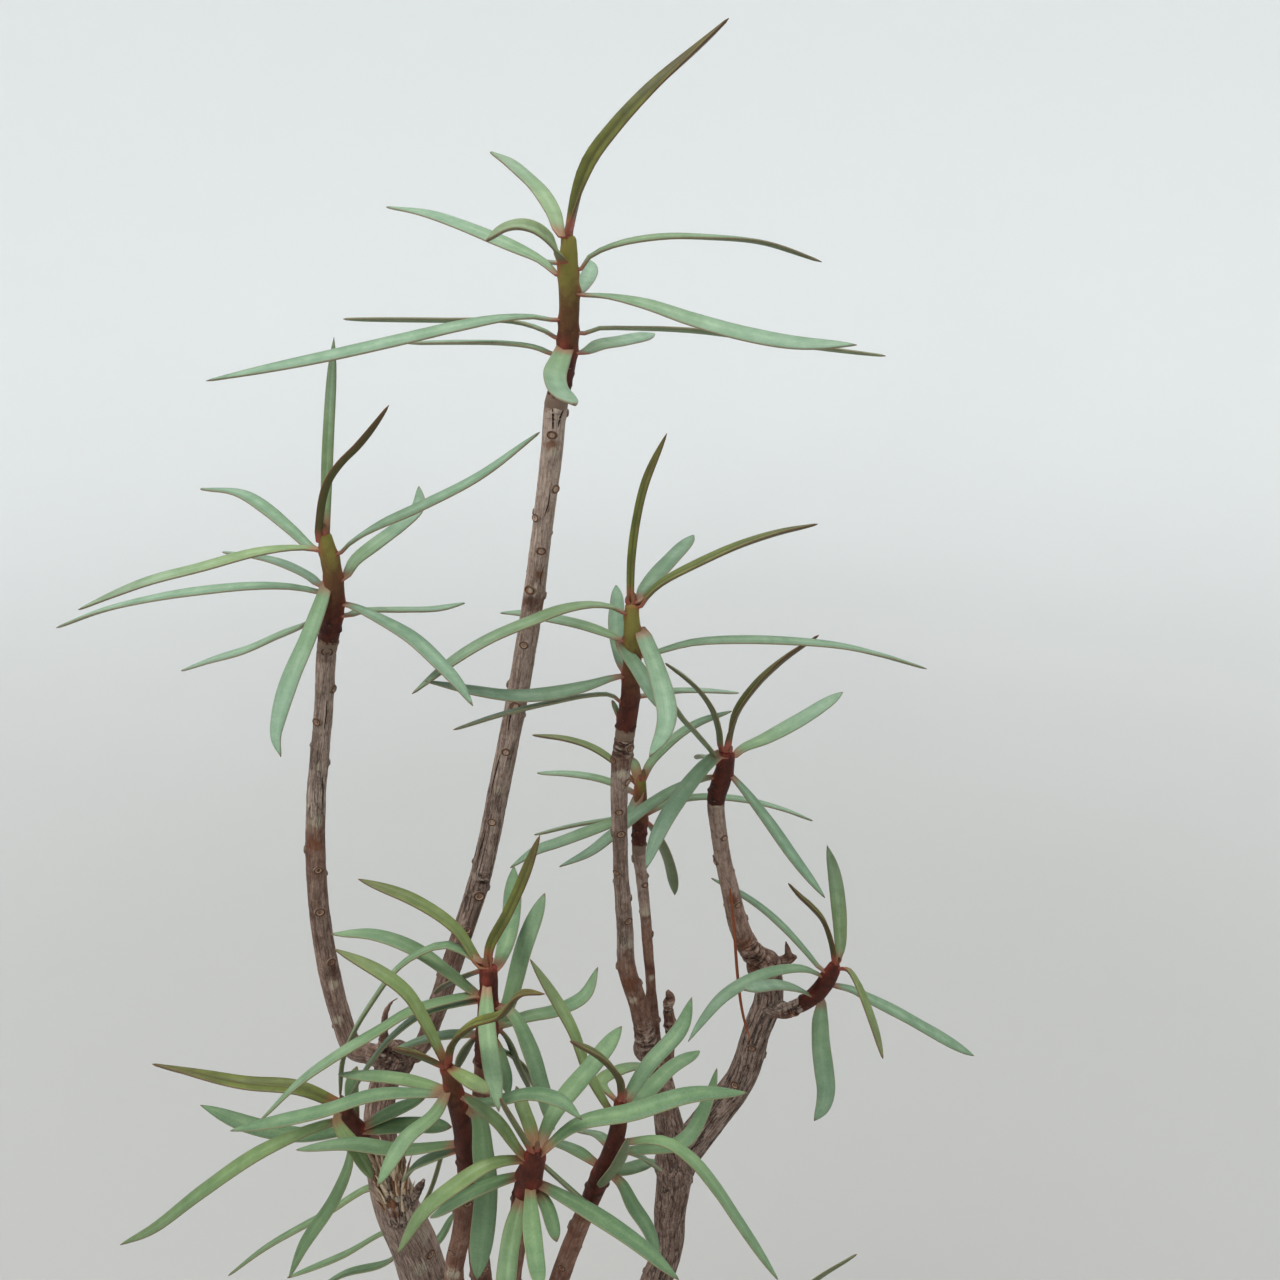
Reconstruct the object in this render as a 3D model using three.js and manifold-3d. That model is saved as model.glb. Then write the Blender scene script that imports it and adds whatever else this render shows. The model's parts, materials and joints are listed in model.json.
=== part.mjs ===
// A potted balsam spurge: a plain clay pot, its soil, the bare woody frame and one node for each leafy shoot.
// Millimetres, +Z up. The origin is the middle of the pot's base, and the front of the plant faces -Y.
import * as THREE from 'three';
import { mergeVertices } from 'three/addons/utils/BufferGeometryUtils.js';
import Module from 'manifold-3d';

const wasm = await Module();
wasm.setup();

// Driving dimensions
const clearance = 0.3;
const pot = {
  height: 120, rimRadius: 70, rimDeep: 24, rimStand: 4.5, footRadius: 47, wall: 5.5, floor: 8, round: 2,
  drainRadius: 4.5, drainCircle: 24, drainHoles: 3, drainFrom: 30, drainSides: 16, turns: 36,
};
const soil = { edge: 106, mound: 109, slopeFrom: 0.6, round: 1, turns: 24 };
const crown = {
  profile: [[8, 54], [12, 78], [16, 98], [17, 110], [15.5, 118], [11, 127], [5, 133]], // radius, height
  turns: 12,
};
const blade = {
  thick: 1.15, edge: 0.62, channel: 0.2, baseShare: 0.4, broadestAt: 0.5, tapering: 3.6, settledAt: 0.3,
};
const longBlade = { over: 75, stepsAt: [0, 0.14, 0.34, 0.55, 0.75, 0.92] };
const shortBlade = { stepsAt: [0, 0.22, 0.48, 0.72, 0.92] };
const sidesOf = { shoot: 6, stem: 8, trunk: 8, deadWood: 5 };
const lineSteps = 12;

// Points of the plant are set out as they are seen from one viewpoint: across and down in a square view, and a
// real depth behind the upright plane through the pot's axis.
const viewpoint = { eye: new THREE.Vector3(30, -330, 575), lookDown: 22, wide: 1280, reach: 1280 };

function seen(across, down, depth) {
  const { eye, lookDown, wide, reach } = viewpoint;
  const tilt = THREE.MathUtils.degToRad(lookDown);
  const right = (across - wide / 2) / reach;
  const low = (down - wide / 2) / reach;
  const forward = Math.cos(tilt) - low * Math.sin(tilt);
  const sight = new THREE.Vector3(right, forward, -Math.sin(tilt) - low * Math.cos(tilt));
  return eye.clone().addScaledVector(sight, (depth - eye.y) / forward);
}

const at = (x, y, z) => new THREE.Vector3(x, y, z);

// Stems: [point, thickness] from the fork outwards. Where a stem turns into a leafy shoot, leafyFrom counts
// the points before it. Leaves: [depth gained from root to tip, width, root, ..., tip]. Turned: leaf number, and
// the degrees that its face turns to the front once clear of the stem and at its tip. Bases: leaf number, and
// the share of its full width that it has at its root.
const leafyStems = {
  top: {
    stem: [
      [seen(395, 1060, -30), 7], [seen(421, 1046, -29), 5.4], [seen(435, 1013, -27), 6],
      [seen(458, 946, -21), 6.2], [seen(480, 878, -15), 6.4], [seen(504, 764, -8), 6.2],
      [seen(520, 682, -4), 6.2], [seen(533, 601, -2), 6], [seen(542, 531, -1), 5.6], [seen(552, 449, 0), 6],
      [seen(556, 405, 0), 6.2], [seen(562, 380, 0), 5.4], [seen(568, 340, 0), 5.2], [seen(569, 292, 0), 4.8],
      [seen(569, 254, 0), 4.4], [seen(570, 234, 0), 3],
    ],
    leafyFrom: 10,
    turned: {
      1: [45, 10], 2: [15, 5], 3: [20, -30], 4: [25, 15], 5: [18, -12], 7: [20, 30], 8: [-15, -10],
      9: [16, 16], 10: [22, 16], 11: [-10, -10],
    },
    bases: { 1: 0.85, 2: 0.65, 3: 0.8, 13: 0.8 },
    leaves: [
      [6, 5, [567, 239], [576, 200], [590, 162], [614, 129], [650, 90], [695, 49], [729, 18]],
      [28, 4.8, [562, 236], [553, 212], [540, 191], [525, 176], [507, 161], [490, 152]],
      [-38, 5, [564, 264], [556, 248], [543, 234], [527, 227], [507, 228], [486, 241]],
      [35, 5, [558, 275], [543, 262], [520, 250], [458, 224], [424, 213], [386, 207]],
      [10, 3.8, [578, 272], [589, 257], [615, 245], [660, 237], [710, 237], [762, 242], [822, 262]],
      [46, 4.6, [574, 294], [584, 283], [590, 272], [591, 261]],
      [-18, 6, [575, 294], [605, 296], [645, 304], [690, 319], [740, 333], [795, 343], [857, 345]],
      [6, 5, [580, 335], [592, 329], [640, 328], [700, 331], [800, 345], [886, 356]],
      [46, 5, [580, 353], [600, 345], [622, 341], [655, 334]],
      [-24, 5.2, [559, 321], [538, 317], [505, 318], [460, 326], [400, 340], [320, 358], [206, 381]],
      [25, 4.6, [557, 338], [541, 329], [512, 321], [450, 320], [343, 319]],
      [30, 4.6, [552, 354], [534, 347], [505, 343], [460, 342], [406, 343]],
      [-36, 5.8, [566, 346], [560, 360], [555, 374], [557, 387], [565, 397], [576, 405]],
      [44, 4.2, [562, 264], [546, 261]],
    ],
  },
  left: {
    stem: [
      [seen(395, 1060, -30), 7], [seen(368, 1053, -30), 6.2], [seen(354, 1049, -29), 6],
      [seen(342, 1020, -27), 6], [seen(328, 966, -24), 6.2], [seen(317, 885, -20), 5.8],
      [seen(316, 803, -17), 5.5], [seen(323, 718, -15), 5.2], [seen(327, 648, -14), 5.4],
      [seen(332, 620, -14), 5.2], [seen(335, 595, -14), 4.8], [seen(331, 562, -14), 4.6],
      [seen(325, 532, -14), 2.8],
    ],
    leafyFrom: 8,
    turned: { 2: [10, 0], 3: [20, 15], 4: [10, 0], 6: [12, 8], 8: [10, -4], 10: [18, 10] },
    bases: { 1: 0.9, 2: 0.85, 9: 0.6 },
    leaves: [
      [14, 3, [325, 535], [328, 445], [334, 337]],
      [-14, 3.1, [321, 542], [321, 515], [328, 483], [341, 463], [359, 445], [373, 428], [389, 405]],
      [-8, 5, [337, 556], [346, 546], [376, 527], [420, 507], [480, 476], [540, 432]],
      [28, 4.8, [343, 579], [355, 561], [376, 544], [401, 525], [418, 507], [419, 486]],
      [30, 5, [316, 550], [290, 529], [270, 512], [250, 498], [235, 492], [200, 489]],
      [-15, 4.8, [321, 550], [300, 548], [260, 552], [200, 568], [150, 581], [115, 594], [78, 610]],
      [40, 4.6, [322, 586], [310, 577], [295, 569], [278, 562], [258, 557], [222, 552]],
      [5, 4.8, [316, 592], [300, 588], [260, 586], [200, 591], [150, 599], [100, 611], [56, 628]],
      [-28, 5.1, [329, 580], [322, 600], [308, 638], [290, 680], [279, 717], [276, 738], [281, 757]],
      [25, 5, [322, 612], [302, 626], [280, 635], [246, 650], [212, 660], [181, 671]],
      [40, 4.8, [345, 616], [362, 611], [400, 610], [435, 609], [465, 603]],
      [-28, 5.2, [344, 604], [352, 606], [372, 615], [412, 638], [440, 664], [458, 684], [473, 706]],
    ],
  },
  middle: {
    stem: [
      [seen(647, 1048, 0), 7], [seen(640, 1010, -1), 6.2], [seen(627, 968, -2), 5.8],
      [seen(625, 930, -3), 5.3], [seen(621, 872, -4), 4.7], [seen(620, 834, -5), 4.6],
      [seen(619, 796, -5), 5.1], [seen(622, 757, -6), 6], [seen(625, 735, -6), 5.6],
      [seen(630, 700, -7), 5.2], [seen(632, 660, -7), 4.7], [seen(632, 628, -8), 4.3],
      [seen(631, 602, -8), 2.8],
    ],
    leafyFrom: 8,
    turned: { 2: [5, -5], 5: [10, 10], 9: [8, -8], 10: [22, 10], 11: [-18, -18] },
    bases: { 1: 0.95, 2: 0.6, 6: 0.6, 7: 0.75 },
    leaves: [
      [6, 3, [631, 606], [632, 560], [637, 520], [646, 482], [667, 433]],
      [5, 4.4, [638, 608], [648, 595], [662, 583], [700, 563], [740, 545], [780, 532], [818, 524]],
      [40, 5.4, [638, 600], [645, 588], [660, 571], [675, 555], [694, 535]],
      [-24, 6, [627, 616], [618, 609], [595, 605], [565, 609], [530, 622], [490, 639], [455, 660],
        [412, 694]],
      [30, 4.6, [624, 641], [610, 635], [585, 626], [545, 617], [520, 613], [500, 613]],
      [38, 4.6, [627, 672], [619, 650], [616, 622], [617, 600], [616, 585]],
      [-38, 5.4, [639, 630], [648, 647], [656, 668], [664, 695], [667, 715], [663, 734], [649, 757]],
      [-12, 4.8, [620, 642], [628, 655], [640, 672], [650, 690], [659, 709]],
      [10, 4.6, [640, 657], [661, 651], [690, 643], [730, 640], [785, 641], [840, 646], [885, 656], [927, 669]],
      [-24, 5, [629, 675], [612, 678], [590, 685], [555, 693], [515, 696], [475, 691], [425, 681]],
      [-22, 4, [621, 702], [612, 695], [590, 695], [553, 702], [499, 715], [453, 730]],
      [50, 4.6, [636, 697], [674, 691], [710, 691], [739, 693]],
      [2, 2.4, [622, 722], [617, 712], [612, 700]],
    ],
  },
  rear_middle: {
    stem: [
      [seen(652, 1040, 3), 6], [seen(651, 987, 8), 3.3], [seen(648, 949, 9), 3.5], [seen(645, 910, 11), 3.7],
      [seen(641, 872, 13), 3.9], [seen(639, 850, 14), 4.4], [seen(640, 820, 14), 4.4],
      [seen(641, 795, 14), 3.6], [seen(641, 778, 14), 2.6],
    ],
    leafyFrom: 5,
    turned: { 3: [-5, -5], 5: [-16, -16], 6: [20, 10] },
    bases: { 1: 0.7, 2: 0.9, 7: 0.75 },
    leaves: [
      [20, 4.2, [641, 784], [650, 764], [664, 748], [680, 734], [700, 722], [732, 711]],
      [6, 3.6, [640, 784], [632, 757]],
      [12, 4.2, [640, 788], [625, 773], [611, 760], [590, 747], [565, 739], [532, 735]],
      [25, 4.4, [640, 796], [622, 787], [600, 779], [570, 774], [537, 773]],
      [8, 4, [640, 813], [610, 819], [570, 826], [534, 835]],
      [-4, 4.6, [640, 820], [618, 822], [598, 828], [560, 842], [535, 851], [510, 868]],
      [-3, 4.8, [641, 790], [637, 801], [632, 812], [627, 827]],
      [36, 4.8, [643, 816], [668, 803], [700, 797], [745, 800], [785, 810], [813, 821]],
      [25, 4.4, [644, 820], [653, 829], [662, 845], [670, 866], [675, 895]],
    ],
  },
  right: {
    stem: [
      [seen(675, 1164, 14), 12], [seen(707, 1122, 16), 11.5], [seen(741, 1078, 17), 10.2],
      [seen(757, 1030, 17), 9.4], [seen(769, 995, 17), 9.6], [seen(765, 966, 17), 9],
      [seen(751, 951, 17), 7.4], [seen(739, 926, 17), 6.7], [seen(731, 893, 17), 5.9],
      [seen(723, 858, 17), 5.3], [seen(718, 825, 17), 5.3], [seen(716, 800, 17), 5.6],
      [seen(721, 782, 17), 5.6],
      [seen(726, 765, 17), 4.8], [seen(728, 750, 17), 3.2],
    ],
    leafyFrom: 11,
    turned: { 1: [35, 0], 3: [12, 12], 6: [10, 10] },
    bases: { 1: 0.85, 2: 0.8, 5: 0.8 },
    leaves: [
      [-8, 4.6, [727, 753], [731, 728], [738, 710], [757, 684], [773, 668], [790, 654], [819, 635]],
      [-10, 4.4, [722, 750], [718, 728], [712, 709], [700, 691], [685, 677], [665, 663]],
      [30, 5.2, [732, 757], [742, 749], [765, 739], [800, 720], [822, 706], [843, 692]],
      [-20, 4.6, [717, 757], [707, 746], [693, 730], [681, 717], [672, 701]],
      [-30, 5.4, [721, 754], [708, 763], [695, 777], [682, 794], [667, 817], [655, 842], [646, 869]],
      [-18, 5.2, [728, 773], [736, 781], [748, 795], [770, 824], [794, 858], [825, 898]],
      [-24, 5, [714, 777], [698, 780], [680, 787], [660, 798], [640, 812], [612, 835], [590, 852], [559, 867]],
      [20, 4.6, [718, 762], [705, 756], [695, 758]],
    ],
  },
  right_twig: {
    stem: [
      [seen(768, 1006, 15), 6], [seen(784, 1011, 12), 5.2], [seen(799, 1006, 11), 5],
      [seen(804, 1003, 11), 5], [seen(818, 992, 11), 5.6], [seen(830, 975, 11), 5], [seen(836, 962, 11), 3],
    ],
    leafyFrom: 3,
    turned: { 2: [75, 75], 6: [15, 15], 8: [55, 55] },
    bases: { 1: 0.8, 2: 0.6, 8: 0.7 },
    leaves: [
      [-6, 3.4, [835, 966], [832, 944], [824, 921], [813, 908], [800, 896], [788, 883]],
      [15, 4.8, [836, 968], [840, 948], [840, 925], [838, 900], [834, 872], [827, 845]],
      [26, 4.6, [822, 970], [806, 952], [786, 930], [764, 910], [741, 894], [711, 878]],
      [-30, 4.2, [824, 977], [805, 969], [780, 970], [750, 980], [722, 998], [700, 1024], [688, 1042]],
      [-38, 4.4, [812, 996], [795, 988], [774, 985], [744, 990]],
      [10, 5.2, [832, 985], [850, 989], [870, 999], [900, 1014], [930, 1031], [974, 1056]],
      [-25, 4.2, [836, 969], [847, 969], [856, 982], [865, 1003], [874, 1028], [883, 1059]],
      [-16, 6.2, [820, 999], [820, 1020], [821, 1045], [824, 1070], [826, 1090], [823, 1106], [814, 1121]],
    ],
  },
  front_upper: {
    stem: [
      [at(-16, -50, 232), 7], [seen(474, 1180, -58), 5.2], [seen(480, 1110, -60), 5],
      [seen(484, 1060, -61), 5], [seen(487, 1020, -62), 4.8], [seen(489, 1000, -62), 4.6],
      [seen(489, 980, -62), 4.2], [seen(489, 964, -62), 3],
    ],
    leafyFrom: 3,
    turned: {},
    bases: { 1: 0.7, 2: 0.85, 7: 0.6 },
    leaves: [
      [12, 4.4, [481, 966], [456, 930], [416, 902], [358, 879]],
      [10, 3.6, [488, 970], [491, 946], [507, 916], [522, 883], [540, 835]],
      [35, 5, [494, 970], [509, 930], [514, 866]],
      [28, 5, [491, 1036], [507, 1008], [525, 944], [545, 893]],
      [14, 4.8, [484, 999], [449, 973], [416, 950], [375, 935], [331, 934]],
      [0, 5.2, [484, 994], [416, 1009], [375, 1033], [335, 1057], [300, 1082], [260, 1121]],
      [25, 3.8, [484, 970], [449, 983], [433, 994]],
      [8, 4.4, [484, 964], [448, 945], [416, 955], [393, 973], [371, 1003], [355, 1029], [343, 1059],
        [340, 1097]],
      [-32, 4.6, [487, 978], [487, 1029], [499, 1112]],
      [24, 5, [491, 1028], [527, 1017], [558, 1010], [585, 995], [598, 967]],
      [-14, 5.2, [492, 1004], [512, 1014], [530, 1050], [541, 1085], [554, 1130]],
      [10, 4.6, [490, 1022], [505, 1035], [518, 1065], [531, 1092]],
      [18, 4.6, [488, 1046], [510, 1054], [526, 1070], [538, 1094]],
      [-8, 4.2, [489, 1030], [503, 1068], [509, 1096]],
      [6, 4.6, [484, 1000], [430, 1010], [395, 1034], [370, 1063], [347, 1100]],
      [12, 4.6, [485, 1034], [440, 1036], [392, 1050]],
      [8, 4.6, [485, 1028], [468, 1046], [457, 1070]],
    ],
  },
  front_left: {
    stem: [
      [at(-16, -50, 232), 7], [seen(454, 1278, -72), 5.4], [seen(462, 1229, -76), 5.2],
      [seen(467, 1171, -79), 5], [seen(466, 1150, -79), 5], [seen(460, 1115, -80), 4.8],
      [seen(454, 1090, -80), 4.4], [seen(447, 1064, -80), 3],
    ],
    leafyFrom: 3,
    turned: {},
    bases: { 1: 0.6, 2: 0.8 },
    leaves: [
      [6, 4.6, [446, 1066], [424, 1021], [406, 993], [380, 973], [334, 949]],
      [-10, 3.8, [448, 1066], [453, 1042], [474, 1024], [499, 1016], [521, 994], [545, 994]],
      [18, 4.4, [452, 1092], [400, 1079], [338, 1074]],
      [6, 5, [452, 1094], [377, 1095], [320, 1112], [230, 1131]],
      [-20, 4.6, [451, 1083], [435, 1114], [406, 1139], [377, 1187]],
      [-22, 4.4, [449, 1068], [470, 1081], [489, 1094]],
      [-12, 3.8, [447, 1068], [420, 1055], [392, 1048]],
      [-14, 6, [460, 1104], [477, 1114], [483, 1152], [486, 1190], [477, 1280]],
      [-14, 4.6, [456, 1092], [478, 1103], [500, 1100], [535, 1094], [562, 1102], [582, 1120]],
      [14, 4.8, [464, 1143], [400, 1150], [350, 1144], [296, 1150]],
      [8, 4.4, [465, 1148], [440, 1155], [415, 1166], [402, 1182]],
    ],
  },
  front_centre: {
    stem: [
      [at(-2, -62, 225), 8], [seen(510, 1290, -88), 5.6], [seen(516, 1240, -90), 5.6],
      [seen(524, 1200, -91), 6], [seen(530, 1175, -92), 6.2], [seen(534, 1160, -92), 4.8],
      [seen(534, 1148, -92), 3],
    ],
    leafyFrom: 3,
    turned: {},
    bases: { 2: 0.7, 3: 0.7 },
    leaves: [
      [10, 5.4, [538, 1156], [576, 1125], [633, 1112], [690, 1095], [748, 1093]],
      [-8, 4, [532, 1152], [522, 1134], [511, 1116], [500, 1098]],
      [14, 3.8, [535, 1152], [530, 1128], [522, 1106], [516, 1086]],
      [4, 5, [522, 1176], [480, 1189], [430, 1218]],
      [-14, 4.6, [524, 1160], [492, 1164], [454, 1187], [423, 1213], [397, 1255]],
      [-30, 4.4, [530, 1179], [532, 1229], [540, 1290]],
      [-24, 4.8, [524, 1188], [511, 1240], [503, 1310]],
      [-10, 3.8, [534, 1188], [546, 1205], [557, 1242]],
      [-12, 5.2, [534, 1182], [595, 1215], [643, 1248], [679, 1280]],
      [20, 4.4, [536, 1158], [572, 1190], [595, 1210]],
      [30, 5, [536, 1154], [556, 1110], [595, 1062], [622, 1026]],
      [2, 4.6, [526, 1158], [495, 1120], [462, 1096]],
    ],
  },
  front_right: {
    stem: [
      [at(-2, -62, 225), 8], [seen(556, 1290, -68), 5.6], [seen(570, 1250, -68), 5.4],
      [seen(592, 1196, -69), 5.2], [seen(610, 1155, -70), 4.8], [seen(619, 1125, -70), 4.2],
      [seen(621, 1098, -70), 3],
    ],
    leafyFrom: 3,
    turned: {},
    bases: { 1: 0.8 },
    leaves: [
      [-14, 3.8, [621, 1100], [618, 1076], [599, 1056], [570, 1041]],
      [12, 4.4, [616, 1118], [588, 1073], [571, 1028], [530, 959]],
      [-12, 5, [616, 1143], [662, 1141], [690, 1158], [715, 1187], [738, 1221], [778, 1280]],
      [20, 4.4, [616, 1148], [640, 1156], [662, 1171]],
      [22, 4.6, [612, 1152], [640, 1150], [685, 1140], [710, 1095], [717, 1068]],
      [-14, 4.6, [604, 1170], [620, 1182], [633, 1206], [648, 1229], [660, 1263]],
      [22, 4.6, [619, 1112], [648, 1066], [681, 1028], [692, 997]],
      [40, 4.6, [620, 1110], [639, 1100], [671, 1068], [700, 1051]],
      [30, 4, [619, 1104], [601, 1082], [620, 1070], [648, 1064]],
      [15, 4.2, [602, 1168], [575, 1150], [548, 1140]],
      [24, 4.4, [611, 1150], [600, 1136], [575, 1130]],
      [-16, 3, [596, 1188], [612, 1172], [622, 1156], [628, 1138]],
      [24, 4.6, [604, 1174], [632, 1168], [655, 1160]],
    ],
  },
  low_left: {
    stem: [
      [seen(381, 1152, -41), 6], [seen(369, 1143, -49), 4.6], [seen(362, 1136, -54), 4.4],
      [seen(352, 1121, -57), 4.2], [seen(343, 1105, -58), 3],
    ],
    leafyFrom: 2,
    turned: { 1: [0, -45] },
    bases: { 1: 0.7 },
    leaves: [
      [6, 5, [345, 1108], [300, 1089], [240, 1083], [152, 1064]],
      [14, 5, [356, 1130], [300, 1135], [250, 1125], [200, 1105]],
      [-12, 5.2, [350, 1120], [330, 1123], [263, 1151], [202, 1192], [153, 1229], [120, 1245]],
      [-6, 5, [358, 1131], [406, 1125], [452, 1127]],
      [-16, 4, [342, 1107], [337, 1120], [356, 1150], [374, 1181]],
      [6, 4.4, [357, 1128], [354, 1112], [352, 1085], [357, 1066]],
      [-6, 4.8, [350, 1120], [350, 1160], [334, 1200], [304, 1245], [289, 1278]],
      [0, 4.4, [358, 1130], [385, 1115], [425, 1098]],
    ],
  },
  lowest_left: {
    stem: [
      [seen(424, 1290, -38), 8], [seen(414, 1268, -29), 5], [seen(408, 1250, -24), 4.6],
      [seen(404, 1235, -22), 4.4], [seen(401, 1220, -21), 3],
    ],
    leafyFrom: 2,
    turned: {},
    bases: { 1: 0.6 },
    leaves: [
      [-12, 5, [402, 1226], [379, 1186], [324, 1215], [267, 1247], [228, 1276]],
      [0, 4.8, [405, 1236], [391, 1231], [344, 1255], [287, 1278]],
      [4, 4.8, [405, 1240], [388, 1262], [344, 1274], [310, 1296]],
      [6, 4.2, [403, 1228], [428, 1195], [446, 1140]],
      [10, 4.6, [406, 1242], [435, 1243], [455, 1212]],
    ],
  },
  low_right: {
    stem: [
      [at(8, 4, 113), 10], [at(36, 7, 124), 6.4], [at(58, 8, 140), 5.2], [at(67, 7, 154), 4.8],
      [at(72, 6, 168), 3],
    ],
    leafyFrom: 2,
    turned: {},
    bases: { 1: 0.6 },
    leaves: [
      [-12, 4.8, [757, 1340], [812, 1283], [857, 1254]],
      [20, 4.6, [755, 1345], [815, 1345], [880, 1372]],
      [-30, 4.8, [753, 1360], [730, 1385], [735, 1450]],
      [40, 4.6, [755, 1345], [770, 1310], [790, 1295]],
      [-14, 4.8, [750, 1362], [800, 1390], [850, 1440]],
      [26, 4.6, [752, 1365], [715, 1345], [672, 1350]],
      [-22, 4.4, [756, 1338], [730, 1315], [700, 1318]],
    ],
  },
};

// Trunks and dead wood: [point, thickness] along each. Knots: the middle and radius of each.
const leftFork = seen(395, 1060, -30);
const middleFork = seen(648, 1048, 1);
const rightFork = seen(675, 1164, 14);
const rightKnot = seen(764, 966, 17);
const trunks = [
  [
    [leftFork, 9], [seen(384, 1085, -33), 8.4], [seen(379, 1120, -38), 9], [seen(384, 1160, -42), 11],
    [seen(396, 1205, -43), 13], [seen(414, 1245, -42), 14], [seen(424, 1275, -41), 14.5],
    [at(-30, -30, 205), 14.5], [at(-14, -12, 145), 16], [at(-5, -3, 112), 17],
  ],
  [
    [middleFork, 7.5], [seen(663, 1084, 5), 7.4], [seen(666, 1109, 9), 8.6], [rightFork, 13],
    [seen(670, 1210, 17), 11.5], [seen(667, 1250, 19), 11], [at(28, 14, 160), 12], [at(9, 5, 114), 15],
  ],
  [[at(-16, -50, 234), 7], [at(-13, -34, 180), 8.4], [at(-6, -9, 116), 11]],
  [[at(-2, -62, 227), 8], [at(2, -38, 170), 9], [at(3, -9, 116), 12]],
];
const tornTrunk = [
  [seen(399, 1212, -46), 9], [seen(394, 1190, -48), 8.4], [seen(390, 1172, -49), 6], [seen(388, 1163, -49), 2],
];
const barkFlap = [[seen(404, 1206, -44), 6], [seen(414, 1196, -47), 3.6], [seen(424, 1180, -48), 1.6]];
const middleStub = [
  [seen(664, 1084, 4), 5], [seen(671, 1044, 3), 2.6], [seen(671, 1026, 3), 4.4], [seen(668, 1008, 2), 3.2],
  [seen(670, 997, 2), 3.4], [seen(667, 990, 2), 1.2],
];
const rightSpur = [
  [seen(766, 966, 18), 5], [seen(779, 962, 20), 3.8], [seen(789, 959, 21), 3.6], [seen(797, 956, 21), 1.4],
];
const spurTip = [[seen(789, 962, 21), 3], [seen(788, 951, 21), 2.4], [seen(786, 941, 21), 0.7]];
const deadTwig = [
  [seen(384, 1058, -33), 4], [seen(384, 1028, -34), 2.2], [seen(386, 1012, -34), 1.8],
  [seen(391, 1003, -34), 1.2], [seen(398, 998, -35), 0.7],
];
const deadWood = [tornTrunk, barkFlap, middleStub, rightSpur, deadTwig, spurTip];
const knots = [[leftFork, 6.2], [middleFork, 5.2], [rightFork, 8], [rightKnot, 6.2]];
const dryNeedle = {
  width: 1.2, thick: 0.9,
  route: [seen(729, 880, 15), seen(733, 915, 13), seen(738, 980, 11), seen(743, 1015, 11), seen(751, 1043, 11)],
};

// Solids
function solidFrom(coordinates, triangles) {
  const vertProperties = new Float32Array(coordinates);
  const triVerts = new Uint32Array(triangles);
  return new wasm.Manifold(new wasm.Mesh({ numProp: 3, vertProperties, triVerts }));
}

function solidOf(geometry) {
  geometry.deleteAttribute('normal');
  geometry.deleteAttribute('uv');
  const merged = mergeVertices(geometry);
  return solidFrom(merged.attributes.position.array, merged.index.array);
}

function joined(solids) {
  return solids.reduce((whole, solid) => whole.add(solid));
}

function lathe(profile, turns) {
  const outline = profile.map(([radius, height]) => new THREE.Vector2(radius, height));
  return solidOf(new THREE.LatheGeometry(outline, turns).rotateX(Math.PI / 2));
}

// Rings of equal size, closed by a fan at each end
function loft(rings) {
  const sides = rings[0].length;
  const triangles = [];
  for (let ring = 0; ring < rings.length - 1; ring++) {
    for (let side = 0; side < sides; side++) {
      const a = ring * sides + side;
      const b = ring * sides + ((side + 1) % sides);
      triangles.push(a, b, b + sides, a, b + sides, a + sides);
    }
  }
  const last = (rings.length - 1) * sides;
  for (let side = 1; side < sides - 1; side++) {
    triangles.push(0, side + 1, side, last, last + side, last + side + 1);
  }
  return solidFrom(rings.flat().flatMap((point) => point.toArray()), triangles);
}

function roundRing(centre, side, across, radius, turns) {
  const ring = [];
  for (let corner = 0; corner < turns; corner++) {
    const turn = (corner / turns) * 2 * Math.PI;
    const point = centre.clone().addScaledVector(side, radius * Math.cos(turn));
    ring.push(point.addScaledVector(across, radius * Math.sin(turn)));
  }
  return ring;
}

function curveThrough(points) {
  return new THREE.CatmullRomCurve3(points, false, 'centripetal');
}

// A round stem from one point of its route to another. Its start is trimmed back from what it grows out of.
function stemSolid(route, sides, { from = 0, to = route.length - 1, trim = 0 } = {}) {
  const curve = curveThrough(route.map(([point]) => point));
  const rings = [];
  const side = at(0, 1, 0);
  for (let place = from; place <= to; place++) {
    const share = place / (route.length - 1);
    const along = curve.getTangent(share);
    const centre = curve.getPoint(share);
    if (place === from) centre.addScaledVector(along, trim);
    side.addScaledVector(along, -side.dot(along)).normalize();
    const across = new THREE.Vector3().crossVectors(along, side);
    rings.push(roundRing(centre, side, across, route[place][1] / 2, sides));
  }
  return loft(rings);
}

// Share of the full width at a place from root (0) to tip (1)
function bladeWidth(place, base) {
  const { broadestAt, tapering } = blade;
  if (place > broadestAt) return 1 - ((place - broadestAt) / (1 - broadestAt)) ** tapering;
  return THREE.MathUtils.lerp(base, 1, Math.sin((place / broadestAt) * (Math.PI / 2)));
}

// Turn of a blade's upper face towards the front, in radians, at a place from root to tip
function bladeTurn(place, [settled, last]) {
  const { settledAt } = blade;
  const degrees = settled * THREE.MathUtils.smoothstep(place, 0, settledAt)
    + (last - settled) * THREE.MathUtils.smoothstep(place, settledAt, 1);
  return THREE.MathUtils.degToRad(degrees);
}

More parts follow.
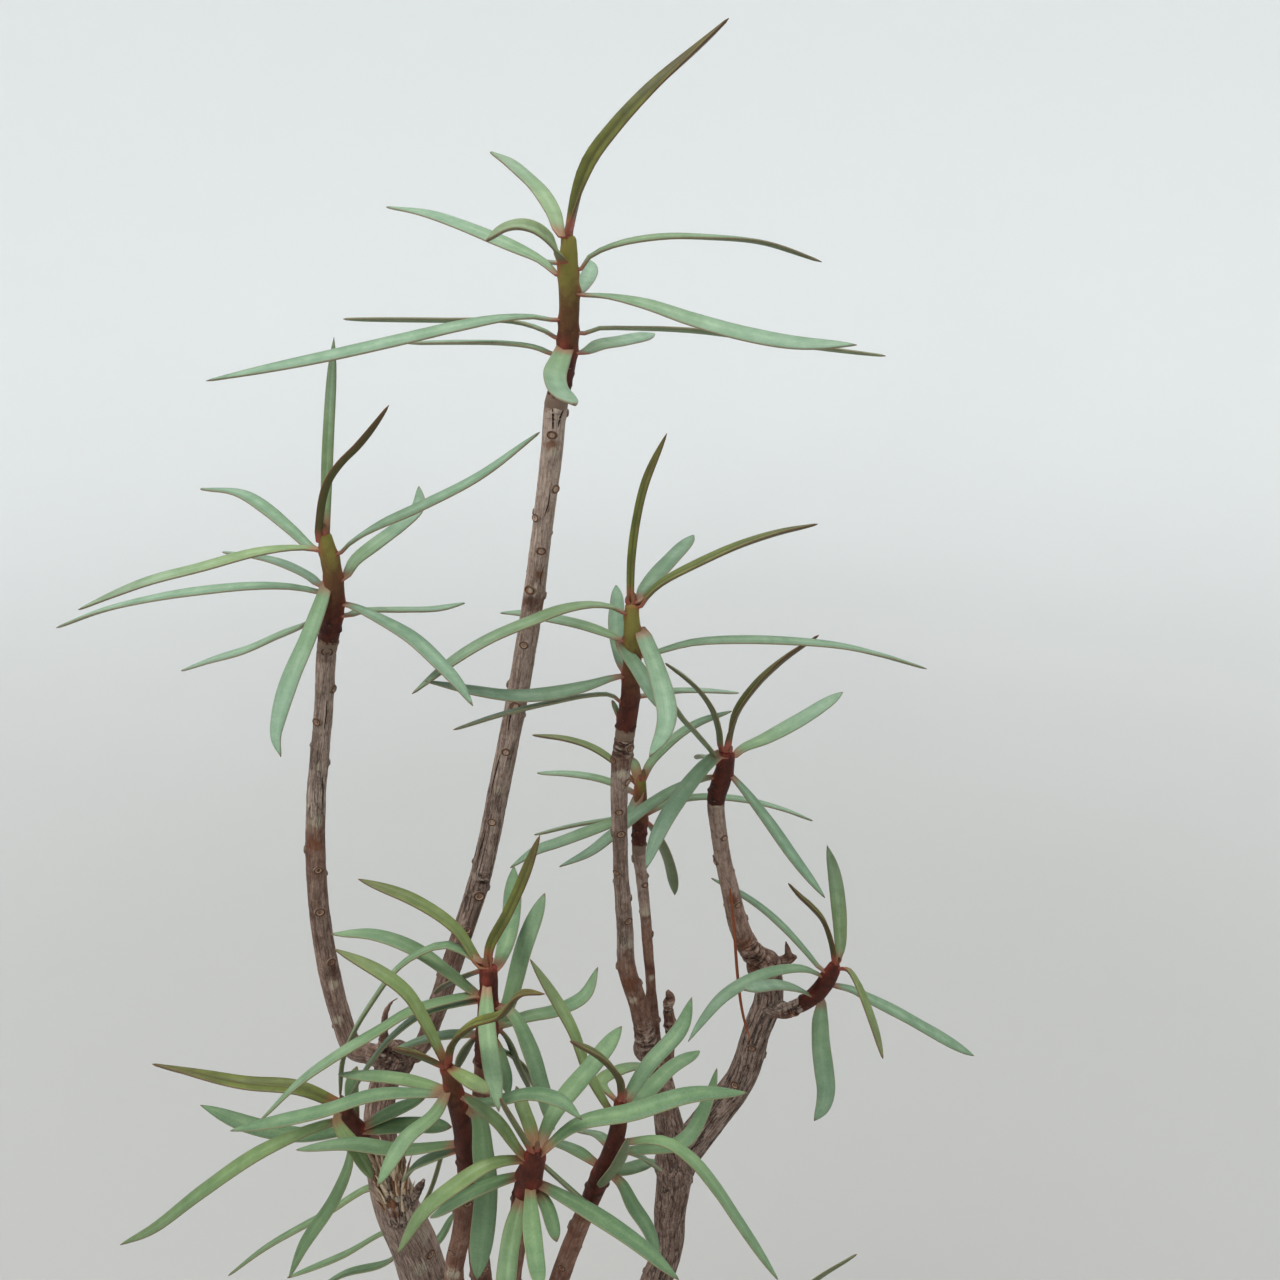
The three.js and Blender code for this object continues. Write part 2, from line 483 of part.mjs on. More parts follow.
// A fleshy blade with a shallow channel above. Points 0 to 2 of each section are above, 3 to 5 below. Both
// faces are split alike.
function bladeSolid(points, width, growth, shape = {}) {
  const { thick = blade.thick, base = blade.baseShare, turned = [0, 0] } = shape;
  const curve = curveThrough(points);
  const outward = points[points.length - 1].clone().sub(points[0]);
  outward.addScaledVector(growth, -outward.dot(growth)).normalize();
  const sideways = new THREE.Vector3().crossVectors(growth, outward);
  const facing = sideways.y > 0 ? 1 : -1;
  const edge = Math.min(blade.edge, thick) / 2;
  const { stepsAt } = curve.getLength() > longBlade.over ? longBlade : shortBlade;
  const vertices = [];
  for (const place of stepsAt) {
    const centre = curve.getPointAt(place);
    const along = curve.getTangentAt(place);
    const up = new THREE.Vector3().crossVectors(along, sideways).normalize();
    const across = new THREE.Vector3().crossVectors(up, along).normalize();
    const turn = facing * bladeTurn(place, turned);
    const level = across.clone();
    across.multiplyScalar(Math.cos(turn)).addScaledVector(up, Math.sin(turn));
    up.multiplyScalar(Math.cos(turn)).addScaledVector(level, -Math.sin(turn));
    const half = (width / 2) * bladeWidth(place, base);
    const above = [[-half, edge], [0, thick / 2 - blade.channel], [half, edge]];
    const below = [[-half, -edge], [0, -thick / 2], [half, -edge]];
    for (const [out, rise] of [...above, ...below]) {
      vertices.push(centre.clone().addScaledVector(across, out).addScaledVector(up, rise));
    }
  }
  const tip = vertices.push(curve.getPointAt(1)) - 1;
  const triangles = [0, 1, 4, 0, 4, 3, 1, 2, 5, 1, 5, 4];
  const stride = 6;
  for (let step = 0; step < stepsAt.length - 1; step++) {
    const root = step * stride;
    const next = root + stride;
    for (const [a, b] of [[0, 1], [1, 2]]) {
      triangles.push(root + a, next + a, next + b, root + a, next + b, root + b);
      triangles.push(root + a + 3, next + b + 3, next + a + 3, root + a + 3, root + b + 3, next + b + 3);
    }
    triangles.push(root, root + 3, next + 3, root, next + 3, next);
    triangles.push(root + 2, next + 2, next + 5, root + 2, next + 5, root + 5);
  }
  const end = (stepsAt.length - 1) * stride;
  for (const [a, b] of [[1, 0], [2, 1], [5, 2], [4, 5], [3, 4], [0, 3]]) triangles.push(end + a, end + b, tip);
  return solidFrom(vertices.flatMap((point) => point.toArray()), triangles);
}

// A leaf starts on the shoot's own line, at the shoot's depth there, and gains its depth evenly on its way out
function leafSolid([gain, width, ...places], shoot, growth, shape) {
  const [rootAcross, rootDown] = places[0];
  const nearest = shoot.reduce((best, point) => {
    const gap = point.distanceTo(seen(rootAcross, rootDown, point.y));
    return gap < best.gap ? { point, gap } : best;
  }, { gap: Infinity });
  const lengths = [0];
  for (let place = 1; place < places.length; place++) {
    const [across, down] = places[place];
    const [lastAcross, lastDown] = places[place - 1];
    lengths.push(lengths[place - 1] + Math.hypot(across - lastAcross, down - lastDown));
  }
  const points = places.map(([across, down], place) => {
    const share = lengths[place] / lengths[lengths.length - 1];
    return seen(across, down, nearest.point.y + gain * share);
  });
  if (nearest.gap > 1) points.unshift(nearest.point.clone());
  return bladeSolid(points, width, growth, shape);
}

function leafyShoot({ stem, leafyFrom, turned, bases, leaves }) {
  const curve = curveThrough(stem.map(([point]) => point));
  const line = [];
  for (let step = 0; step <= (stem.length - 1 - leafyFrom) * lineSteps; step++) {
    line.push(curve.getPoint((leafyFrom + step / lineSteps) / (stem.length - 1)));
  }
  const growth = line[line.length - 1].clone().sub(line[0]).normalize();
  const clearOfWood = line.slice(lineSteps / 2);
  const solids = [stemSolid(stem, sidesOf.shoot, { from: leafyFrom, trim: clearance })];
  leaves.forEach((leaf, order) => {
    const shape = { base: bases[order + 1], turned: turned[order + 1] };
    solids.push(leafSolid(leaf, clearOfWood, growth, shape));
  });
  return joined(solids);
}

// The woody base, partly buried; grow widens it for the hole that it stands in
function crownSolid(grow = 0) {
  const rings = crown.profile.map(([radius, height]) => {
    return roundRing(at(0, 0, height), at(1, 0, 0), at(0, 1, 0), radius + grow, crown.turns);
  });
  return loft(rings);
}

function woodyStems() {
  const solids = [crownSolid()];
  for (const { stem, leafyFrom } of Object.values(leafyStems)) {
    solids.push(stemSolid(stem, sidesOf.stem, { to: leafyFrom }));
  }
  for (const trunk of trunks) solids.push(stemSolid(trunk, sidesOf.trunk));
  for (const dead of deadWood) solids.push(stemSolid(dead, sidesOf.deadWood));
  for (const [centre, radius] of knots) {
    solids.push(solidOf(new THREE.IcosahedronGeometry(radius, 0).translate(...centre)));
  }
  solids.push(bladeSolid(dryNeedle.route, dryNeedle.width, at(0, 0, 1), { thick: dryNeedle.thick }));
  return joined(solids);
}

function potSolid() {
  const { height, rimRadius, rimDeep, rimStand, footRadius, wall, floor, round } = pot;
  const neck = rimRadius - rimStand;
  const shoulder = height - rimDeep;
  const body = lathe([
    [0, 0], [footRadius - round, 0], [footRadius, round], [neck, shoulder],
    [rimRadius - round, shoulder + round / 2], [rimRadius, shoulder + 1.5 * round],
    [rimRadius, height - round], [rimRadius - round, height],
    [neck - wall + round, height], [neck - wall, height - round], [neck - wall, shoulder],
    [footRadius - wall, floor + round], [footRadius - wall - round, floor], [0, floor],
  ], pot.turns);
  const { drainRadius, drainCircle, drainHoles, drainFrom, drainSides } = pot;
  const drains = [];
  for (let hole = 0; hole < drainHoles; hole++) {
    const turn = (hole / drainHoles) * 2 * Math.PI + THREE.MathUtils.degToRad(drainFrom);
    const drill = new THREE.CylinderGeometry(drainRadius, drainRadius, 3 * floor, drainSides);
    drill.rotateX(Math.PI / 2);
    drill.translate(drainCircle * Math.cos(turn), drainCircle * Math.sin(turn), floor / 2);
    drains.push(solidOf(drill));
  }
  return body.subtract(joined(drains));
}

function soilSolid() {
  const { height, rimRadius, rimDeep, rimStand, footRadius, wall, floor, round } = pot;
  const inner = rimRadius - rimStand - wall - clearance;
  const foot = footRadius - wall - clearance;
  const bottom = floor + clearance;
  const fill = lathe([
    [0, bottom], [foot - round, bottom], [foot, bottom + round], [inner, height - rimDeep],
    [inner, soil.edge - soil.round], [inner - soil.round, soil.edge],
    [inner * soil.slopeFrom, (soil.edge + soil.mound) / 2], [0, soil.mound],
  ], soil.turns);
  return fill.subtract(crownSolid(clearance));
}

// Nodes
const finishes = {
  clay: { color: 0xb5714c, roughness: 0.9 },
  earth: { color: 0x3f2f24, roughness: 1 },
  bark: { color: 0x8a7d72, roughness: 0.85 },
  foliage: { color: 0x86a98c, roughness: 0.6 },
};

function node(name, solid, finish) {
  const { vertProperties, triVerts } = solid.getMesh();
  const geometry = new THREE.BufferGeometry();
  geometry.setAttribute('position', new THREE.BufferAttribute(new Float32Array(vertProperties), 3));
  geometry.setIndex(new THREE.BufferAttribute(new Uint32Array(triVerts), 1));
  geometry.computeVertexNormals();
  const material = new THREE.MeshStandardMaterial({ ...finishes[finish], metalness: 0, flatShading: true });
  const mesh = new THREE.Mesh(geometry, material);
  mesh.name = name;
  return mesh;
}

const plant = new THREE.Group();
plant.add(node('pot', potSolid(), 'clay'));
plant.add(node('soil', soilSolid(), 'earth'));
plant.add(node('woody_stems', woodyStems(), 'bark'));
for (const [name, leafyStem] of Object.entries(leafyStems)) {
  plant.add(node(`shoot_${name}`, leafyShoot(leafyStem), 'foliage'));
}

export default plant;
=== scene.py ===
# A potted balsam spurge: the plain clay pot, its soil, the bare woody frame and a leafy shoot on every stem.
# Lengths are millimetres until a mesh is made, and metres from there on.
import json
import math
import random
from functools import reduce

import bmesh
import bpy
import numpy as np
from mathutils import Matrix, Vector, noise
from mathutils.bvhtree import BVHTree

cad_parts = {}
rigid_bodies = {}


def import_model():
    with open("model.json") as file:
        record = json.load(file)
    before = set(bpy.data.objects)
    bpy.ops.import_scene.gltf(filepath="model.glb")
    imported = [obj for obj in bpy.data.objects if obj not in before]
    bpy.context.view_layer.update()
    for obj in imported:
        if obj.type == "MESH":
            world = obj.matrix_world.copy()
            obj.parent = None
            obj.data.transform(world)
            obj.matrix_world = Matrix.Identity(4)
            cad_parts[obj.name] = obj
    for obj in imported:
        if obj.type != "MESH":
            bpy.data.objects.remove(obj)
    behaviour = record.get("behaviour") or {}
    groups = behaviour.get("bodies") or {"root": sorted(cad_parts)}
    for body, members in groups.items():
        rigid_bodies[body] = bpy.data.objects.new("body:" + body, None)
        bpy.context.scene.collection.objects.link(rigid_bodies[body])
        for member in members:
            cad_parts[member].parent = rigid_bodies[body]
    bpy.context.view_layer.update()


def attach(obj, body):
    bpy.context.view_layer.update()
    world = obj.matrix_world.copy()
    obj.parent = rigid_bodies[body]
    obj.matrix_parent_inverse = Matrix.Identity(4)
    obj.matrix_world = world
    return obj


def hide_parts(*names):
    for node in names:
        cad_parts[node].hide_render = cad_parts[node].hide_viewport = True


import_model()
millimetre = 0.001
golden = math.radians(137.5)  # the turn from one leaf to the next

# Points of the plant are set out as the camera sees them: across and down in a square view, and a real depth
# behind the upright plane through the pot's axis.
viewpoint = {"eye": np.array([30.0, -330.0, 575.0]), "lookDown": 22, "wide": 1280, "reach": 1280}
tilt = math.radians(viewpoint["lookDown"])


def seen(across, down, depth):
    right = (across - viewpoint["wide"] / 2) / viewpoint["reach"]
    low = (down - viewpoint["wide"] / 2) / viewpoint["reach"]
    forward = math.cos(tilt) - low * math.sin(tilt)
    sight = np.array([right, forward, -math.sin(tilt) - low * math.cos(tilt)])
    return viewpoint["eye"] + sight * (depth - viewpoint["eye"][1]) / forward


def seenDown(points):
    gap = points - viewpoint["eye"]
    forward = gap[:, 1] * math.cos(tilt) - gap[:, 2] * math.sin(tilt)
    low = -gap[:, 1] * math.sin(tilt) - gap[:, 2] * math.cos(tilt)
    return viewpoint["wide"] / 2 + viewpoint["reach"] * low / forward


def at(x, y, z):
    return np.array([x, y, z], float)


def stemLine(rows):
    # points and radii of a stem, from rows of a seen place and a thickness, or of a point and a thickness
    rows = [(seen(*row[:3]), row[3]) if len(row) == 4 else row for row in rows]
    return [point for point, thickness in rows], [thickness / 2 for point, thickness in rows]


# Stems: place seen, depth and thickness from the fork outwards; from leafyFrom on it is a leafy shoot. Low: 1
# for the shoots near the soil, whose leaves are greener and also painted darker, as painted shade low in the
# plant.
# Olive: how far the shoot's tip is still green. Leaves: depth gained from root to tip, width, then the places
# seen on the way, across and down. By number of leaf: young, from 0 to 1; blunt tips; bases, the share of its
# full width that a leaf has at its root; turned, the degrees that its face turns to the front once it is
# clear of the stem and at its tip.
leafyStems = {
    "top": {
        "stem": [
            (395, 1060, -30, 7), (421, 1046, -29, 5.4), (435, 1013, -27, 6), (458, 946, -21, 6.2),
            (480, 878, -15, 6.4), (504, 764, -8, 6.2), (520, 682, -4, 6.2), (533, 601, -2, 6),
            (542, 531, -1, 5.6), (552, 449, 0, 6), (556, 405, 0, 6.2), (562, 380, 0, 5.4), (568, 340, 0, 5.2),
            (569, 292, 0, 4.8), (569, 254, 0, 4.4), (570, 234, 0, 3),
        ],
        "leafyFrom": 10, "low": 0.0, "olive": 1.0, "young": {1: 0.97, 3: 0.6, 2: 0.35, 5: 0.35},
        "blunt": {2, 6, 9, 13}, "bases": {1: 0.85, 2: 0.65, 3: 0.8, 13: 0.8},
        "turned": {
            1: (45, 10), 2: (15, 5), 3: (65, -20), 4: (25, 15), 5: (18, -12), 7: (20, 30), 8: (-15, -10),
            9: (16, 16), 10: (22, 16), 11: (-10, -10),
        },
        "leaves": [
            (6, 5, 567, 239, 576, 200, 590, 162, 614, 129, 650, 90, 695, 49, 729, 18),
            (28, 4.8, 562, 236, 553, 212, 540, 191, 525, 176, 507, 161, 490, 152),
            (-38, 5, 564, 264, 556, 248, 543, 234, 527, 227, 507, 228, 486, 241),
            (35, 5, 558, 275, 543, 262, 520, 250, 458, 224, 424, 213, 386, 207),
            (10, 3.8, 578, 272, 589, 257, 615, 245, 660, 237, 710, 237, 762, 242, 822, 262),
            (46, 4.6, 574, 294, 584, 283, 590, 272, 591, 261),
            (-18, 6, 575, 294, 605, 296, 645, 304, 690, 319, 740, 333, 795, 343, 857, 345),
            (6, 5, 580, 335, 592, 329, 640, 328, 700, 331, 800, 345, 886, 356),
            (46, 5, 580, 353, 600, 345, 622, 341, 655, 334),
            (-24, 5.2, 559, 321, 538, 317, 505, 318, 460, 326, 400, 340, 320, 358, 206, 381),
            (25, 4.6, 557, 338, 541, 329, 512, 321, 450, 320, 343, 319),
            (30, 4.6, 552, 354, 534, 347, 505, 343, 460, 342, 406, 343),
            (-36, 5.8, 566, 346, 560, 360, 555, 374, 557, 387, 565, 397, 576, 405),
            (44, 4.2, 562, 264, 546, 261),
        ],
    },
    "left": {
        "stem": [
            (395, 1060, -30, 7), (368, 1053, -30, 6.2), (354, 1049, -29, 6), (342, 1020, -27, 6),
            (328, 966, -24, 6.2), (317, 885, -20, 5.8), (316, 803, -17, 5.5), (323, 718, -15, 5.2),
            (327, 648, -14, 5.4), (332, 620, -14, 5.2), (335, 595, -14, 4.8), (331, 562, -14, 4.6),
            (325, 532, -14, 2.8),
        ],
        "leafyFrom": 8, "low": 0.0, "olive": 0.9, "young": {1: 0.5, 2: 1.0, 3: 0.1, 6: 0.45, 4: 0.1},
        "blunt": {4}, "bases": {1: 0.9, 2: 0.85, 9: 0.6},
        "turned": {2: (10, 0), 3: (20, 15), 4: (10, 0), 6: (12, 8), 8: (10, -4), 10: (18, 10)},
        "leaves": [
            (14, 3, 325, 535, 328, 445, 334, 337),
            (-14, 3.1, 321, 542, 321, 515, 328, 483, 341, 463, 359, 445, 373, 428, 389, 405),
            (-8, 5, 337, 556, 346, 546, 376, 527, 420, 507, 480, 476, 540, 432),
            (28, 4.8, 343, 579, 355, 561, 376, 544, 401, 525, 418, 507, 419, 486),
            (30, 5, 316, 550, 290, 529, 270, 512, 250, 498, 235, 492, 200, 489),
            (-15, 4.8, 321, 550, 300, 548, 260, 552, 200, 568, 150, 581, 115, 594, 78, 610),
            (40, 4.6, 322, 586, 310, 577, 295, 569, 278, 562, 258, 557, 222, 552),
            (5, 4.8, 316, 592, 300, 588, 260, 586, 200, 591, 150, 599, 100, 611, 56, 628),
            (-28, 5.1, 329, 580, 322, 600, 308, 638, 290, 680, 279, 717, 276, 738, 281, 757),
            (25, 5, 322, 612, 302, 626, 280, 635, 246, 650, 212, 660, 181, 671),
            (40, 4.8, 345, 616, 362, 611, 400, 610, 435, 609, 465, 603),
            (-28, 5.2, 344, 604, 352, 606, 372, 615, 412, 638, 440, 664, 458, 684, 473, 706),
        ],
    },
    "middle": {
        "stem": [
            (647, 1048, 0, 7), (640, 1010, -1, 6.2), (627, 968, -2, 5.8), (625, 930, -3, 5.3),
            (621, 872, -4, 4.7), (620, 834, -5, 4.6), (619, 796, -5, 5.1), (622, 757, -6, 6),
            (625, 735, -6, 5.6), (630, 700, -7, 5.2), (632, 660, -7, 4.7), (632, 628, -8, 4.3),
            (631, 602, -8, 2.8),
        ],
        "leafyFrom": 8, "low": 0.1, "olive": 1.0, "young": {1: 0.95, 2: 0.85, 4: 0.4, 13: 0.5, 11: 0.3},
        "blunt": {3, 6}, "bases": {1: 0.95, 2: 0.6, 6: 0.6, 7: 0.75},
        "turned": {2: (5, -5), 5: (10, 10), 9: (8, -8), 10: (22, 10), 11: (-18, -18)},
        "leaves": [
            (6, 3, 631, 606, 632, 560, 637, 520, 646, 482, 667, 433),
            (5, 4.4, 638, 608, 648, 595, 662, 583, 700, 563, 740, 545, 780, 532, 818, 524),
            (40, 5.4, 638, 600, 645, 588, 660, 571, 675, 555, 694, 535),
            (-24, 6, 627, 616, 618, 609, 595, 605, 565, 609, 530, 622, 490, 639, 455, 660, 412, 694),
            (30, 4.6, 624, 641, 610, 635, 585, 626, 545, 617, 520, 613, 500, 613),
            (38, 4.6, 627, 672, 619, 650, 616, 622, 617, 600, 616, 585),
            (-38, 5.4, 639, 630, 648, 647, 656, 668, 664, 695, 667, 715, 663, 734, 649, 757),
            (-12, 4.8, 620, 642, 628, 655, 640, 672, 650, 690, 659, 709),
            (10, 4.6, 640, 657, 661, 651, 690, 643, 730, 640, 785, 641, 840, 646, 885, 656, 927, 669),
            (-24, 5, 629, 675, 612, 678, 590, 685, 555, 693, 515, 696, 475, 691, 425, 681),
            (-22, 4, 621, 702, 612, 695, 590, 695, 553, 702, 499, 715, 453, 730),
            (50, 4.6, 636, 697, 674, 691, 710, 691, 739, 693),
            (2, 2.4, 622, 722, 617, 712, 612, 700),
        ],
    },
    "rear_middle": {
        "stem": [
            (652, 1040, 3, 6), (651, 987, 8, 3.3), (648, 949, 9, 3.5), (645, 910, 11, 3.7),
            (641, 872, 13, 3.9), (639, 850, 14, 4.4), (640, 820, 14, 4.4), (641, 795, 14, 3.6),
            (641, 778, 14, 2.6),
        ],
        "leafyFrom": 5, "low": 0.25, "olive": 0.8, "young": {2: 0.6, 3: 0.75, 1: 0.2}, "blunt": {4, 7, 9},
        "bases": {1: 0.7, 2: 0.9, 7: 0.75},
        "turned": {3: (-5, -5), 5: (-16, -16), 6: (20, 10)},
        "leaves": [
            (20, 4.2, 641, 784, 650, 764, 664, 748, 680, 734, 700, 722, 732, 711),
            (6, 3.6, 640, 784, 632, 757),
            (12, 4.2, 640, 788, 625, 773, 611, 760, 590, 747, 565, 739, 532, 735),
            (25, 4.4, 640, 796, 622, 787, 600, 779, 570, 774, 537, 773),
            (8, 4, 640, 813, 610, 819, 570, 826, 534, 835),
            (-4, 4.6, 640, 820, 618, 822, 598, 828, 560, 842, 535, 851, 510, 868),
            (-3, 4.8, 641, 790, 637, 801, 632, 812, 627, 827),
            (36, 4.8, 643, 816, 668, 803, 700, 797, 745, 800, 785, 810, 813, 821),
            (25, 4.4, 644, 820, 653, 829, 662, 845, 670, 866, 675, 895),
        ],
    },
    "right": {
        "stem": [
            (675, 1164, 14, 12), (707, 1122, 16, 11.5), (741, 1078, 17, 10.2), (757, 1030, 17, 9.4),
            (769, 995, 17, 9.6), (765, 966, 17, 9), (751, 951, 17, 7.4), (739, 926, 17, 6.7),
            (731, 893, 17, 5.9), (723, 858, 17, 5.3), (718, 825, 17, 5.3), (716, 800, 17, 5.6),
            (721, 782, 17, 5.6), (726, 765, 17, 4.8), (728, 750, 17, 3.2),
        ],
        "leafyFrom": 11, "low": 0.1, "olive": 0.15, "young": {1: 1.0, 2: 0.55}, "blunt": {3},
        "bases": {1: 0.85, 2: 0.8, 5: 0.8},
        "turned": {1: (35, 0), 3: (12, 12), 6: (10, 10)},
        "leaves": [
            (-8, 4.6, 727, 753, 731, 728, 738, 710, 757, 684, 773, 668, 790, 654, 819, 635),
            (-10, 4.4, 722, 750, 718, 728, 712, 709, 700, 691, 685, 677, 665, 663),
            (30, 5.2, 732, 757, 742, 749, 765, 739, 800, 720, 822, 706, 843, 692),
            (-20, 4.6, 717, 757, 707, 746, 693, 730, 681, 717, 672, 701),
            (-30, 5.4, 721, 754, 708, 763, 695, 777, 682, 794, 667, 817, 655, 842, 646, 869),
            (-18, 5.2, 728, 773, 736, 781, 748, 795, 770, 824, 794, 858, 825, 898),
            (-24, 5, 714, 777, 698, 780, 680, 787, 660, 798, 640, 812, 612, 835, 590, 852, 559, 867),
            (20, 4.6, 718, 762, 705, 756, 695, 758),
        ],
    },
    "right_twig": {
        "stem": [
            (768, 1006, 15, 6), (784, 1011, 12, 5.2), (799, 1006, 11, 5), (804, 1003, 11, 5),
            (818, 992, 11, 5.6), (830, 975, 11, 5), (836, 962, 11, 3),
        ],
        "leafyFrom": 3, "low": 0.3, "olive": 0.1, "young": {1: 1.0, 2: 0.45, 7: 0.75}, "blunt": {5, 6, 8},
        "bases": {1: 0.8, 2: 0.6, 8: 0.7},
        "turned": {2: (75, 75), 6: (15, 15), 8: (55, 55)},
        "leaves": [
            (-6, 3.4, 835, 966, 832, 944, 824, 921, 813, 908, 800, 896, 788, 883),
            (15, 4.8, 836, 968, 840, 948, 840, 925, 838, 900, 834, 872, 827, 845),
            (26, 4.6, 822, 970, 806, 952, 786, 930, 764, 910, 741, 894, 711, 878),
            (-30, 4.2, 824, 977, 805, 969, 780, 970, 750, 980, 722, 998, 700, 1024, 688, 1042),
            (-38, 4.4, 812, 996, 795, 988, 774, 985, 744, 990),
            (10, 5.2, 832, 985, 850, 989, 870, 999, 900, 1014, 930, 1031, 974, 1056),
            (-25, 4.2, 836, 969, 847, 969, 856, 982, 865, 1003, 874, 1028, 883, 1059),
            (-16, 6.2, 820, 999, 820, 1020, 821, 1045, 824, 1070, 826, 1090, 823, 1106, 814, 1121),
        ],
    },
    "front_upper": {
        "stem": [
            (at(-16, -50, 232), 7), (474, 1180, -58, 5.2), (480, 1110, -60, 5), (484, 1060, -61, 5),
            (487, 1020, -62, 4.8), (489, 1000, -62, 4.6), (489, 980, -62, 4.2), (489, 964, -62, 3),
        ],
        "leafyFrom": 3, "low": 0.7, "olive": 0.3, "young": {1: 0.75, 2: 0.95, 7: 0.6, 9: 0.15},
        "blunt": {4, 11}, "bases": {1: 0.7, 2: 0.85, 7: 0.6},
        "leaves": [
            (12, 4.4, 481, 966, 456, 930, 416, 902, 358, 879),
            (10, 3.6, 488, 970, 491, 946, 507, 916, 522, 883, 540, 835),
            (35, 5, 494, 970, 509, 930, 514, 866),
            (28, 5, 491, 1036, 507, 1008, 525, 944, 545, 893),
            (14, 4.8, 484, 999, 449, 973, 416, 950, 375, 935, 331, 934),
            (0, 5.2, 484, 994, 416, 1009, 375, 1033, 335, 1057, 300, 1082, 260, 1121),
            (25, 3.8, 484, 970, 449, 983, 433, 994),
            (8, 4.4, 484, 964, 448, 945, 416, 955, 393, 973, 371, 1003, 355, 1029, 343, 1059, 340, 1097),
            (-32, 4.6, 487, 978, 487, 1029, 499, 1112),
            (24, 5, 491, 1028, 527, 1017, 558, 1010, 585, 995, 598, 967),
            (-14, 5.2, 492, 1004, 512, 1014, 530, 1050, 541, 1085, 554, 1130),
            (10, 4.6, 490, 1022, 505, 1035, 518, 1065, 531, 1092),
            (18, 4.6, 488, 1046, 510, 1054, 526, 1070, 538, 1094),
            (-8, 4.2, 489, 1030, 503, 1068, 509, 1096),
            (6, 4.6, 484, 1000, 430, 1010, 395, 1034, 370, 1063, 347, 1100),
            (12, 4.6, 485, 1034, 440, 1036, 392, 1050),
            (8, 4.6, 485, 1028, 468, 1046, 457, 1070),
        ],
    },
    "front_left": {
        "stem": [
            (at(-16, -50, 232), 7), (454, 1278, -72, 5.4), (462, 1229, -76, 5.2), (467, 1171, -79, 5),
            (466, 1150, -79, 5), (460, 1115, -80, 4.8), (454, 1090, -80, 4.4), (447, 1064, -80, 3),
        ],
        "leafyFrom": 3, "low": 0.8, "olive": 0.5, "young": {1: 0.65, 2: 0.95, 6: 0.6, 7: 0.95, 3: 0.2},
        "blunt": {8}, "bases": {1: 0.6, 2: 0.8},
        "leaves": [
            (6, 4.6, 446, 1066, 424, 1021, 406, 993, 380, 973, 334, 949),
            (-10, 3.8, 448, 1066, 453, 1042, 474, 1024, 499, 1016, 521, 994, 545, 994),
            (18, 4.4, 452, 1092, 400, 1079, 338, 1074),
            (6, 5, 452, 1094, 377, 1095, 320, 1112, 230, 1131),
            (-20, 4.6, 451, 1083, 435, 1114, 406, 1139, 377, 1187),
            (-22, 4.4, 449, 1068, 470, 1081, 489, 1094),
            (-12, 3.8, 447, 1068, 420, 1055, 392, 1048),
            (-14, 6, 460, 1104, 477, 1114, 483, 1152, 486, 1190, 477, 1280),
            (-14, 4.6, 456, 1092, 478, 1103, 500, 1100, 535, 1094, 562, 1102, 582, 1120),
            (14, 4.8, 464, 1143, 400, 1150, 350, 1144, 296, 1150),
            (8, 4.4, 465, 1148, 440, 1155, 415, 1166, 402, 1182),
        ],
    },
    "front_centre": {
        "stem": [
            (at(-2, -62, 225), 8), (510, 1290, -88, 5.6), (516, 1240, -90, 5.6), (524, 1200, -91, 6),
            (530, 1175, -92, 6.2), (534, 1160, -92, 4.8), (534, 1148, -92, 3),
        ],
        "leafyFrom": 3, "low": 0.9, "olive": 0.15, "young": {2: 0.6, 3: 0.6, 5: 0.5, 12: 0.45, 7: 0.2},
        "blunt": {6, 7, 8, 11}, "bases": {2: 0.7, 3: 0.7},
        "leaves": [
            (10, 5.4, 538, 1156, 576, 1125, 633, 1112, 690, 1095, 748, 1093),
            (-8, 4, 532, 1152, 522, 1134, 511, 1116, 500, 1098),
            (14, 3.8, 535, 1152, 530, 1128, 522, 1106, 516, 1086),
            (4, 5, 522, 1176, 480, 1189, 430, 1218),
            (-14, 4.6, 524, 1160, 492, 1164, 454, 1187, 423, 1213, 397, 1255),
            (-30, 4.4, 530, 1179, 532, 1229, 540, 1290),
            (-24, 4.8, 524, 1188, 511, 1240, 503, 1310),
            (-10, 3.8, 534, 1188, 546, 1205, 557, 1242),
            (-12, 5.2, 534, 1182, 595, 1215, 643, 1248, 679, 1280),
            (20, 4.4, 536, 1158, 572, 1190, 595, 1210),
            (30, 5, 536, 1154, 556, 1110, 595, 1062, 622, 1026),
            (2, 4.6, 526, 1158, 495, 1120, 462, 1096),
        ],
    },
    "front_right": {
        "stem": [
            (at(-2, -62, 225), 8), (556, 1290, -68, 5.6), (570, 1250, -68, 5.4), (592, 1196, -69, 5.2),
            (610, 1155, -70, 4.8), (619, 1125, -70, 4.2), (621, 1098, -70, 3),
        ],
        "leafyFrom": 3, "low": 0.8, "olive": 0.35, "young": {1: 0.9, 2: 0.6, 9: 0.4}, "blunt": {8},
        "bases": {1: 0.8},
        "leaves": [
            (-14, 3.8, 621, 1100, 618, 1076, 599, 1056, 570, 1041),
            (12, 4.4, 616, 1118, 588, 1073, 571, 1028, 530, 959),
            (-12, 5, 616, 1143, 662, 1141, 690, 1158, 715, 1187, 738, 1221, 778, 1280),
            (20, 4.4, 616, 1148, 640, 1156, 662, 1171),
            (22, 4.6, 612, 1152, 640, 1150, 685, 1140, 710, 1095, 717, 1068),
            (-14, 4.6, 604, 1170, 620, 1182, 633, 1206, 648, 1229, 660, 1263),
            (22, 4.6, 619, 1112, 648, 1066, 681, 1028, 692, 997),
            (40, 4.6, 620, 1110, 639, 1100, 671, 1068, 700, 1051),
            (30, 4, 619, 1104, 601, 1082, 620, 1070, 648, 1064),
